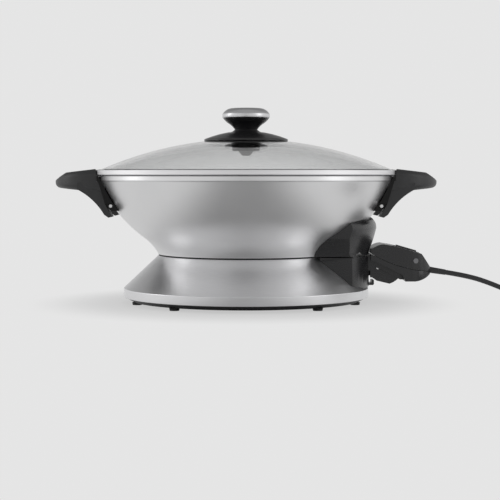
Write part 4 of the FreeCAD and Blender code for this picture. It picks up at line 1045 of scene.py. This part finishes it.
@dataclass
class Studio:
    """The pale floor and backdrop, and the soft lamps."""

    ground: float = 0.785
    floor_size: float = 14.0
    paper: float = 0.55
    floor_glow: float = 0.68
    fade: Span = (0.15, 0.27)
    side: Span = (0.05, 0.22)
    front_wall: float = 0.62
    side_wall: float = 0.95
    wall_turn: float = 0.8
    ceiling: float = 0.42
    ceiling_rise: Span = (0.35, 0.8)
    high_back: float = 0.5
    back_turn: Span = (0.2, 0.7)
    back_rise: Span = (0.15, 0.35)
    boxes: tuple[SoftBox, ...] = (
        SoftBox("left_box", (-1.6, 0.02, 0.62), (0.46, 1.3), 2.65),
        SoftBox("right_box", (1.48, -0.6, 0.62), (0.5, 1.3), 2.5),
    )

    def build(self) -> None:
        """Makes the stage and the light."""
        self.floor()
        self.world()
        for box in self.boxes:
            box.build()

    def floor(self) -> None:
        """Makes a wide floor that fades into the backdrop's shade."""
        bpy.ops.object.select_all(action="DESELECT")
        bpy.ops.mesh.primitive_plane_add(size=self.floor_size, location=(0, 0, 0))
        item = bpy.context.object
        item.name = "studio_floor"
        item.data.materials.append(self.floor_material())

    def floor_material(self) -> bpy.types.Material:
        """A pale surface, seen mostly by its own colour so that its shadows stay soft.

        Returns:
            The material.
        """
        graph = Graph("studio_paper")
        fibres = graph.noise(graph.place(), 3.0, detail=2.0)
        graph.shade(fibres, (self.paper, self.paper, self.paper), 0.002)
        graph.shader.inputs["Roughness"].default_value = 0.9
        graph.shader.inputs["Specular IOR Level"].default_value = 0.0
        glow = graph.node("Emission")
        glow.inputs["Color"].default_value = (self.ground, self.ground, self.ground, 1)
        path = graph.node("LightPath")
        parts = graph.node("SeparateXYZ")
        graph.link(graph.place(), parts.inputs["Vector"])
        beside = graph.ranged(graph.maths("ABSOLUTE", parts.outputs["X"]), self.side, (0.0, 1.0), soft=True)
        in_metal = graph.maths("MULTIPLY", beside, path.outputs["Is Glossy Ray"])
        reach = graph.node("VectorMath", operation="LENGTH")
        graph.link(graph.place(), reach.inputs[0])
        share = graph.ranged(reach.outputs["Value"], self.fade, (self.floor_glow, 1.0), soft=True)
        in_view = graph.maths("MULTIPLY", path.outputs["Is Camera Ray"], share)
        mix = graph.node("MixShader")
        graph.link(graph.maths("MAXIMUM", in_view, in_metal), mix.inputs["Fac"])
        graph.link(graph.shader.outputs["BSDF"], mix.inputs[1])
        graph.link(glow.outputs["Emission"], mix.inputs[2])
        graph.link(mix.outputs["Shader"], graph.output.inputs["Surface"])
        return graph.material

    def world(self) -> None:
        """Makes a pale room that is darker overhead and high up at the back."""
        world = bpy.data.worlds.new("studio_world")
        bpy.context.scene.world = world
        world.use_nodes = True
        nodes = Nodes(world.node_tree)
        parts = nodes.node("SeparateXYZ")
        nodes.link(nodes.node("TexCoord").outputs["Generated"], parts.inputs["Vector"])
        across, back, up = (parts.outputs[axis] for axis in "XYZ")
        wall = nodes.ranged(nodes.maths("ABSOLUTE", across), (0.0, self.wall_turn),
                            (self.front_wall, self.side_wall))
        room = nodes.node("Mix", data_type="FLOAT")
        nodes.link(nodes.ranged(up, self.ceiling_rise, (0.0, 1.0), soft=True), room.inputs[0])
        nodes.link(wall, room.inputs[2])
        room.inputs[3].default_value = self.ceiling
        behind = nodes.ranged(back, self.back_turn, (0.0, 1.0), soft=True)
        raised = nodes.ranged(up, self.back_rise, (0.0, self.high_back - 1), soft=True)
        dimming = nodes.maths("MULTIPLY_ADD", behind, raised, 1.0)
        path = nodes.node("LightPath")
        seen = nodes.maths("MAXIMUM", path.outputs["Is Camera Ray"], path.outputs["Is Transmission Ray"])
        mix = nodes.node("Mix", data_type="RGBA")
        nodes.link(seen, mix.inputs[0])
        nodes.link(nodes.maths("MULTIPLY", room.outputs[0], dimming), mix.inputs[6])
        mix.inputs[7].default_value = (self.ground, self.ground, self.ground, 1)
        nodes.link(mix.outputs[2], world.node_tree.nodes["Background"].inputs["Color"])


# The wok's sub-assemblies, in millimetres

@dataclass
class BowlForm:
    """The curve of the bowl's side, shared by what fits it."""

    rim_radius: float = 177.0
    rim_height: float = 152.1
    rim_width: float = 5.0
    band_height: float = 6.2
    band_step: float = 1.6
    wall: float = 4.0
    slope_top: float = 68.0
    slope_mid: float = 36.0
    slope_waist: float = 60.0
    wall_bend: float = 155.0
    waist_bend: float = 61.0
    floor_bend: float = 95.0
    floor_wall: float = 6.8
    seat: float = 57.2
    heater_radius: float = 86.0
    groove_rise: float = 6.0
    ring_width: float = 5.8
    seam_depth: float = 2.4
    seam_height: float = 1.5
    seam_edge: float = 0.2
    shade_ring_inset: float = 0.9
    coat_sink: float = 0.1
    coat_rise: float = 0.25

    def side(self) -> tuple[Vector, Vector, Vector]:
        """The corners of the outer side.

        Returns:
            The lip, the middle and the waist.
        """
        top, mid, low = (math.radians(a) for a in (self.slope_top, self.slope_mid, self.slope_waist))
        upper = Vector((math.sin(top) - math.sin(mid), math.cos(mid) - math.cos(top)))
        lower = Vector((math.sin(low) - math.sin(mid), math.cos(mid) - math.cos(low)))
        lip = Vector((self.rim_radius - self.band_step, self.rim_height - self.band_height))
        middle = lip - self.wall_bend * upper
        return lip, middle, middle - self.waist_bend * lower

    def inner_side(self, wall: float) -> list[Corner]:
        """The inner side's lip, middle and floor, at a distance from the outer side.

        Args:
            wall: that distance in millimetres.

        Returns:
            The three corners, with the bends between them.
        """
        lip, middle, _ = self.side()
        top, mid = math.radians(self.slope_top), math.radians(self.slope_mid)
        inner_lip = lip + wall * Vector((-math.sin(top), math.cos(top)))
        inner_middle = middle + wall * Vector((-math.sin(mid), math.cos(mid)))
        bend = self.floor_bend + self.wall - wall
        floor = inner_middle - bend * Vector((math.sin(mid), 1 - math.cos(mid)))
        return [
            (inner_lip.x, inner_lip.y, wall - self.wall_bend),
            (inner_middle.x, inner_middle.y, -bend),
            (floor.x, floor.y),
        ]

    def lining(self) -> list[Corner]:
        """The section of the dark coating on the inner side.

        Returns:
            Its outline, over the front and back along the back.
        """
        back = self.inner_side(self.wall - self.coat_sink)
        lip, middle, floor = self.inner_side(self.wall + self.coat_rise)
        return [
            (0.0, floor[1]),
            (floor[0], floor[1], -middle[2]),
            (middle[0], middle[1], -lip[2]),
            (lip[0], lip[1]),
            *back,
            (0.0, back[2][1]),
        ]

    def seam_shade_section(self) -> list[Corner]:
        """The section of the near-black ring that paints the shade in the seam above the base.

        Returns:
            Its outline.
        """
        waist = self.side()[2].x
        inside, outside = waist - self.seam_depth, waist - self.shade_ring_inset
        top = self.seat + self.seam_height
        return [(inside, self.seat), (outside, self.seat), (outside, top), (inside, top)]

    def outline(self) -> list[Corner]:
        """The whole section, from the underside round to the middle of the floor.

        Returns:
            Its outline.
        """
        lip, middle, waist = self.side()
        inner_lip, inner_middle, floor = self.inner_side(self.wall)
        under = floor[1] - self.floor_wall
        groove = under + self.groove_rise
        ring = waist.x - self.ring_width
        seam = self.seat + self.seam_height
        return [
            (0.0, under),
            (self.heater_radius, under),
            (self.heater_radius + self.groove_rise / 2, groove),
            (ring, groove),
            (ring, self.seat),
            (waist.x - self.seam_depth, self.seat),
            (waist.x - self.seam_depth, seam),
            (waist.x - self.seam_edge, seam),
            (waist.x, waist.y, -self.waist_bend),
            (middle.x, middle.y, self.wall_bend),
            (lip.x, lip.y),
            (self.rim_radius, lip.y + self.band_step / 2),
            (self.rim_radius, self.rim_height),
            (self.rim_radius - self.rim_width, self.rim_height),
            inner_lip,
            inner_middle,
            floor,
            (0.0, floor[1]),
        ]


@dataclass
class Base:
    """The steel base with its pan, feet, shield and socket trough."""

    skirt_radius: float = 146.6
    wall: float = 1.5
    low: float = 8.0
    lip_height: float = 10.6
    lip_step: float = 0.4
    seat: float = 57.2
    top_radius: float = 106.6
    top_drop: float = 1.3
    spigot_radius: float = 99.4
    spigot_rise: float = 3.0
    skirt_rounding: float = 0.35
    window_half: float = 23.6
    window_low: float = 35.9
    window_spare: float = 10.0
    trough_rounding: float = 0.9

    def skirt_section(self) -> list[Corner]:
        """The skirt's section, from the flange inside round by the foot to the spigot.

        Returns:
            Its outline.
        """
        inside = self.skirt_radius - self.wall
        lip_top = self.low + self.lip_height
        flange = self.seat - self.wall
        spigot_top = self.seat + self.spigot_rise
        return [
            (self.spigot_radius - self.wall, flange),
            (self.top_radius - self.wall, flange),
            (inside - self.lip_step, lip_top),
            (inside, lip_top - self.lip_step),
            (inside, self.low),
            (self.skirt_radius, self.low),
            (self.skirt_radius, lip_top - self.lip_step),
            (self.skirt_radius - self.lip_step, lip_top),
            (self.top_radius, self.seat - self.top_drop),
            (self.top_radius - self.top_drop, self.seat),
            (self.spigot_radius, self.seat),
            (self.spigot_radius, spigot_top),
            (self.spigot_radius - self.wall, spigot_top),
        ]

    def build(self) -> None:
        """Makes and dresses the base's pieces."""
        skirt = lathe("steel_skirt", self.skirt_section(), rounding=self.skirt_rounding, closed=True)
        spare = self.window_spare
        window = box_tool((self.spigot_radius - spare, -self.window_half, self.window_low),
                          (self.skirt_radius + spare, self.window_half, self.seat + 2 * spare))
        fit_out(carve(skirt, window), Body.BASE, Finish.SKIRT_STEEL, "base_skirt")
        trough = taken_up("trough_shell", "socket_trough", self.trough_rounding)
        fit_out(trough, Body.BASE, Finish.SOCKET_PLASTIC, "socket_trough")
        dress({
            "heat_shield": Finish.INNER_STEEL,
            "base_posts": Finish.INNER_STEEL,
            "base_pan": Finish.DARK_PAN,
            "feet": Finish.FOOT_RUBBER,
            "base_screws": Finish.SCREW_STEEL,
        })


@dataclass
class Bowl:
    """The bowl with its coating, its near-black ring of painted seam shade, element, socket hood, handles
    and brackets.
    """

    form: BowlForm
    rounding: float = 0.5
    corner_ahead: float = 104.0
    corner_reach: float = 66.0
    corner_bend: float = 3.0
    hood_angle: float = 24.0
    hood_rounding: float = 1.6
    grip_rounding: float = 0.8
    end_top: Span = (215.6, 154.4)
    end_top_way: Span = (0.539, 0.842)
    end_low: Span = (224.0, 136.9)
    end_low_way: Span = (0.767, -0.641)
    web_near: float = 41.0
    web_far: float = 52.5
    web_rounding: float = 0.5
    web: tuple[Span, ...] = (
        (170.8, 151.0), (175.0, 151.0), (170.0, 136.0), (166.4, 124.0), (165.0, 119.5),
        (155.3, 119.5), (159.8, 127.5), (164.0, 135.5), (169.2, 146.0),
    )

    def build(self) -> None:
        """Makes and dresses the bowl's pieces."""
        bowl = lathe("cast_bowl", self.form.outline(), rounding=self.rounding, segments=224, step=2.0)
        fit_out(bowl, Body.BOWL, Finish.BOWL_CAST, "bowl")
        coat = lathe("inner_coating", self.form.lining(), segments=160, step=3.0)
        fit_out(coat, Body.BOWL, Finish.COOKING_COAT)
        # A near-black ring sits in the seam under the bowl as painted shade of its gap.
        fit_out(lathe("seam_shade_ring", self.form.seam_shade_section(), closed=True), Body.BOWL, Finish.SEAL_RUBBER)
        hood = taken_up("hood_shell", "socket_hood", angle=self.hood_angle)
        soften(hood, self.corner_ahead, self.corner_reach, self.corner_bend)
        round_off(hood, self.hood_rounding, self.hood_angle)
        fit_out(hood, Body.BOWL, Finish.SOCKET_PLASTIC, "socket_hood")
        # Near-black plates that close the gap between each grip and the bowl: a black mount there, and
        # painted shade of that shadowed gap.
        web = round_off(plate("web", self.web, -self.web_near, -self.web_far), self.web_rounding)
        for side, sign in (("right", 1), ("left", -1)):
            self.grip(side, sign)
            for name, factor in (("front", 1), ("back", -1)):
                copy = mirrored(web, f"web_{side}_{name}", (sign, factor, 1))
                fit_out(copy, Body.BOWL, Finish.BRACKET_PAINT)
        bpy.data.objects.remove(web, do_unlink=True)
        dress({
            "heating_element": Finish.ELEMENT_STEEL,
            "sensor_well": Finish.ELEMENT_STEEL,
            "terminal_block": Finish.BLOCK_CERAMIC,
            "terminal_pins": Finish.CONTACT_METAL,
            "handle_bracket_right": Finish.BRACKET_PAINT,
            "handle_bracket_left": Finish.BRACKET_PAINT,
            "handle_screws": Finish.SCREW_STEEL,
        })

    def grip(self, side: str, sign: int) -> None:
        """Makes one handle's grip, with its pointed end.

        Args:
            side: the handle's side, as its CAD node names it.
            sign: 1 at the right, -1 at the left.
        """
        grip = taken_up("loop_handle_" + side, "handle_" + side)
        for (out, up), (way, rise) in ((self.end_top, self.end_top_way), (self.end_low, self.end_low_way)):
            trim(grip, (sign * out, 0, up), (sign * way, 0, rise))
        round_off(merge_flats(grip), self.grip_rounding, 28.0)
        fit_out(grip, Body.BOWL, Finish.HANDLE_PLASTIC, "handle_" + side)


@dataclass
class Lid:
    """The glass lid with its steel ring."""

    glass_radius: float = 174.5
    glass_wall: float = 4.0
    bend: float = 430.0
    apex: float = 196.6
    hole: float = 5.0
    ledge: float = 156.2
    ring_radius: float = 181.0
    ring_low: float = 153.3
    ring_top: float = 159.0
    ring_gap: float = 0.2
    ring_rounding: float = 0.6
    rim: float = 152.1
    seat_radius: float = 174.2
    skirt_radius: float = 170.0
    skirt_wall: float = 1.2
    skirt_low: float = 147.1

    def dome(self, radius: float, inside: bool = False) -> float:
        """The height of the dome's outer or inner side at a radius."""
        bend = self.bend - (self.glass_wall if inside else 0.0)
        return self.apex - self.bend + math.sqrt(bend * bend - radius * radius)

    def build(self) -> None:
        """Makes and dresses the lid's pieces."""
        inner = self.glass_radius - self.glass_wall
        glass = lathe("dome_glass", [
            (self.hole, self.dome(self.hole, True)),
            (self.hole, self.dome(self.hole), -self.bend),
            (self.glass_radius, self.dome(self.glass_radius)),
            (self.glass_radius, self.ledge),
            (inner, self.ledge),
            (inner, self.dome(inner, True), self.bend - self.glass_wall),
        ], closed=True, segments=224, step=0.8)
        fit_out(glass, Body.LID, Finish.LID_GLASS, "lid_glass")
        pocket = self.glass_radius + self.ring_gap
        lip = self.skirt_radius - self.skirt_wall
        ring = lathe("lid_ring", [
            (self.ring_radius, self.ring_low),
            (self.ring_radius, self.ring_top),
            (pocket, self.ring_top),
            (pocket, self.ledge),
            (lip, self.ledge),
            (lip, self.skirt_low),
            (self.skirt_radius, self.skirt_low),
            (self.skirt_radius, self.rim),
            (self.seat_radius, self.rim),
            (self.seat_radius, self.ring_low),
        ], rounding=self.ring_rounding, closed=True, segments=224)
        fit_out(ring, Body.LID, Finish.LID_STEEL, "lid_rim")
        Knob(self).build()


@dataclass
class Knob:
    """The lid's knob, above and under the glass."""

    lid: Lid
    bore: float = 2.5
    gap: float = 0.3
    flange_radius: float = 50.4
    flange_edge: float = 2.6
    flange_bend: float = 140.0
    flange_top: float = 204.4
    flange_rounding: float = 0.5
    foot_radius: float = 22.4
    foot_bend: float = 10.0
    neck_radius: float = 13.6
    neck_rise: float = 3.6
    neck_bend: float = 26.0
    cup_low_radius: float = 20.5
    cup_rise: float = 10.4
    cup_bend: float = 22.0
    cup_radius: float = 27.6
    stem_top: float = 221.5
    cap_foot: float = 28.0
    cap_radius: float = 28.5
    cap_lip: float = 0.8
    cap_side: float = 5.0
    cap_bend: float = 14.0
    cap_flat: float = 17.0
    cap_top: float = 233.6
    cap_rounding: float = 0.8
    segments: int = 96

    def build(self) -> None:
        """Makes and dresses the knob's pieces."""
        glass = self.lid.dome(self.flange_radius)
        flange = lathe("knob_plate", [
            (self.bore, self.lid.dome(self.bore) + self.gap, -self.lid.bend),
            (self.flange_radius, glass + self.gap),
            (self.flange_radius, glass + self.flange_edge, self.flange_bend),
            (self.foot_radius, self.flange_top),
            (self.bore, self.flange_top),
        ], rounding=self.flange_rounding, closed=True, segments=self.segments)
        fit_out(flange, Body.LID, Finish.KNOB_PLASTIC, "knob_flange")
        stem = lathe("knob_neck", [
            (self.bore, self.flange_top),
            (self.foot_radius, self.flange_top, -self.foot_bend),
            (self.neck_radius, self.flange_top + self.neck_rise, -self.neck_bend),
            (self.cup_low_radius, self.flange_top + self.cup_rise, self.cup_bend),
            (self.cup_radius, self.stem_top),
            (self.bore, self.stem_top),
        ], closed=True, segments=self.segments)
        fit_out(stem, Body.LID, Finish.KNOB_PLASTIC, "knob_stem")
        cap = lathe("knob_top", [
            (0.0, self.stem_top),
            (self.cap_foot, self.stem_top),
            (self.cap_radius, self.stem_top + self.cap_lip),
            (self.cap_radius, self.stem_top + self.cap_side, self.cap_bend),
            (self.cap_flat, self.cap_top),
            (0.0, self.cap_top),
        ], rounding=self.cap_rounding, segments=self.segments)
        fit_out(cap, Body.LID, Finish.KNOB_STEEL, "knob_cap")
        dress({
            "knob_boss": Finish.KNOB_PLASTIC,
            "knob_washer": Finish.WASHER_SILICONE,
            "knob_disc": Finish.KNOB_PLASTIC,
            "knob_screw": Finish.KNOB_STEEL,
        })


@dataclass
class HeatControl:
    """The plug-in heat control with its trigger and its dial."""

    shell_rounding: float = 0.9
    nose_rounding: float = 0.6
    trigger_rounding: float = 1.6
    dial_rounding: float = 0.4
    cheek_start: float = 15.6
    cheek_wall: float = 1.8
    cheek_rounding: float = 0.4
    cheek: tuple[Span, ...] = (
        (147.8, 52.5), (151.2, 52.5), (186.5, 35.2), (189.0, 28.5), (183.5, 28.6),
        (178.0, 31.5), (165.0, 38.0), (154.0, 43.5), (152.4, 31.0), (147.8, 31.0),
    )

    def build(self) -> None:
        """Makes and dresses the heat control's pieces."""
        plastic = Finish.CONTROL_PLASTIC
        for name, node, rounding, body, finish in (
            ("upper_housing", "probe_upper_shell", self.shell_rounding, Body.CONTROL, plastic),
            ("lower_housing", "probe_lower_shell", self.shell_rounding, Body.CONTROL, plastic),
            ("nose_block", "probe_nose", self.nose_rounding, Body.CONTROL, plastic),
            ("squeeze_trigger", "trigger", self.trigger_rounding, Body.TRIGGER, plastic),
            ("turn_dial", "dial", self.dial_rounding, Body.DIAL, Finish.DIAL_PLASTIC),
        ):
            fit_out(taken_up(name, node, rounding), body, finish, node)
        ends = (-self.cheek_start, -self.cheek_start - self.cheek_wall)
        near = round_off(plate("cheek_near", self.cheek, *ends), self.cheek_rounding)
        far = mirrored(near, "cheek_far", (1, -1, 1))
        for cheek in (near, far):
            fit_out(cheek, Body.CONTROL, plastic)
        dress({
            "contact_sleeves": Finish.CONTACT_METAL,
            "sensor_rod": Finish.SENSOR_STEEL,
            "thermostat_switch": Finish.SENSOR_STEEL,
            "indicator_lens": Finish.LENS_PLASTIC,
            "probe_screws": Finish.SCREW_STEEL,
            "trigger_pin": Finish.SCREW_STEEL,
            "dial_shaft": Finish.SENSOR_STEEL,
        })


def main() -> None:
    """Builds the scene's parts in order."""
    logging.basicConfig(level=logging.INFO, format="%(message)s")
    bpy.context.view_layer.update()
    Camera().build()
    MainsCord().build()
    Base().build()
    Bowl(BowlForm()).build()
    Lid().build()
    HeatControl().build()
    Studio().build()
    bpy.context.scene.view_settings.view_transform = "Standard"


if __name__ == "__main__":
    main()
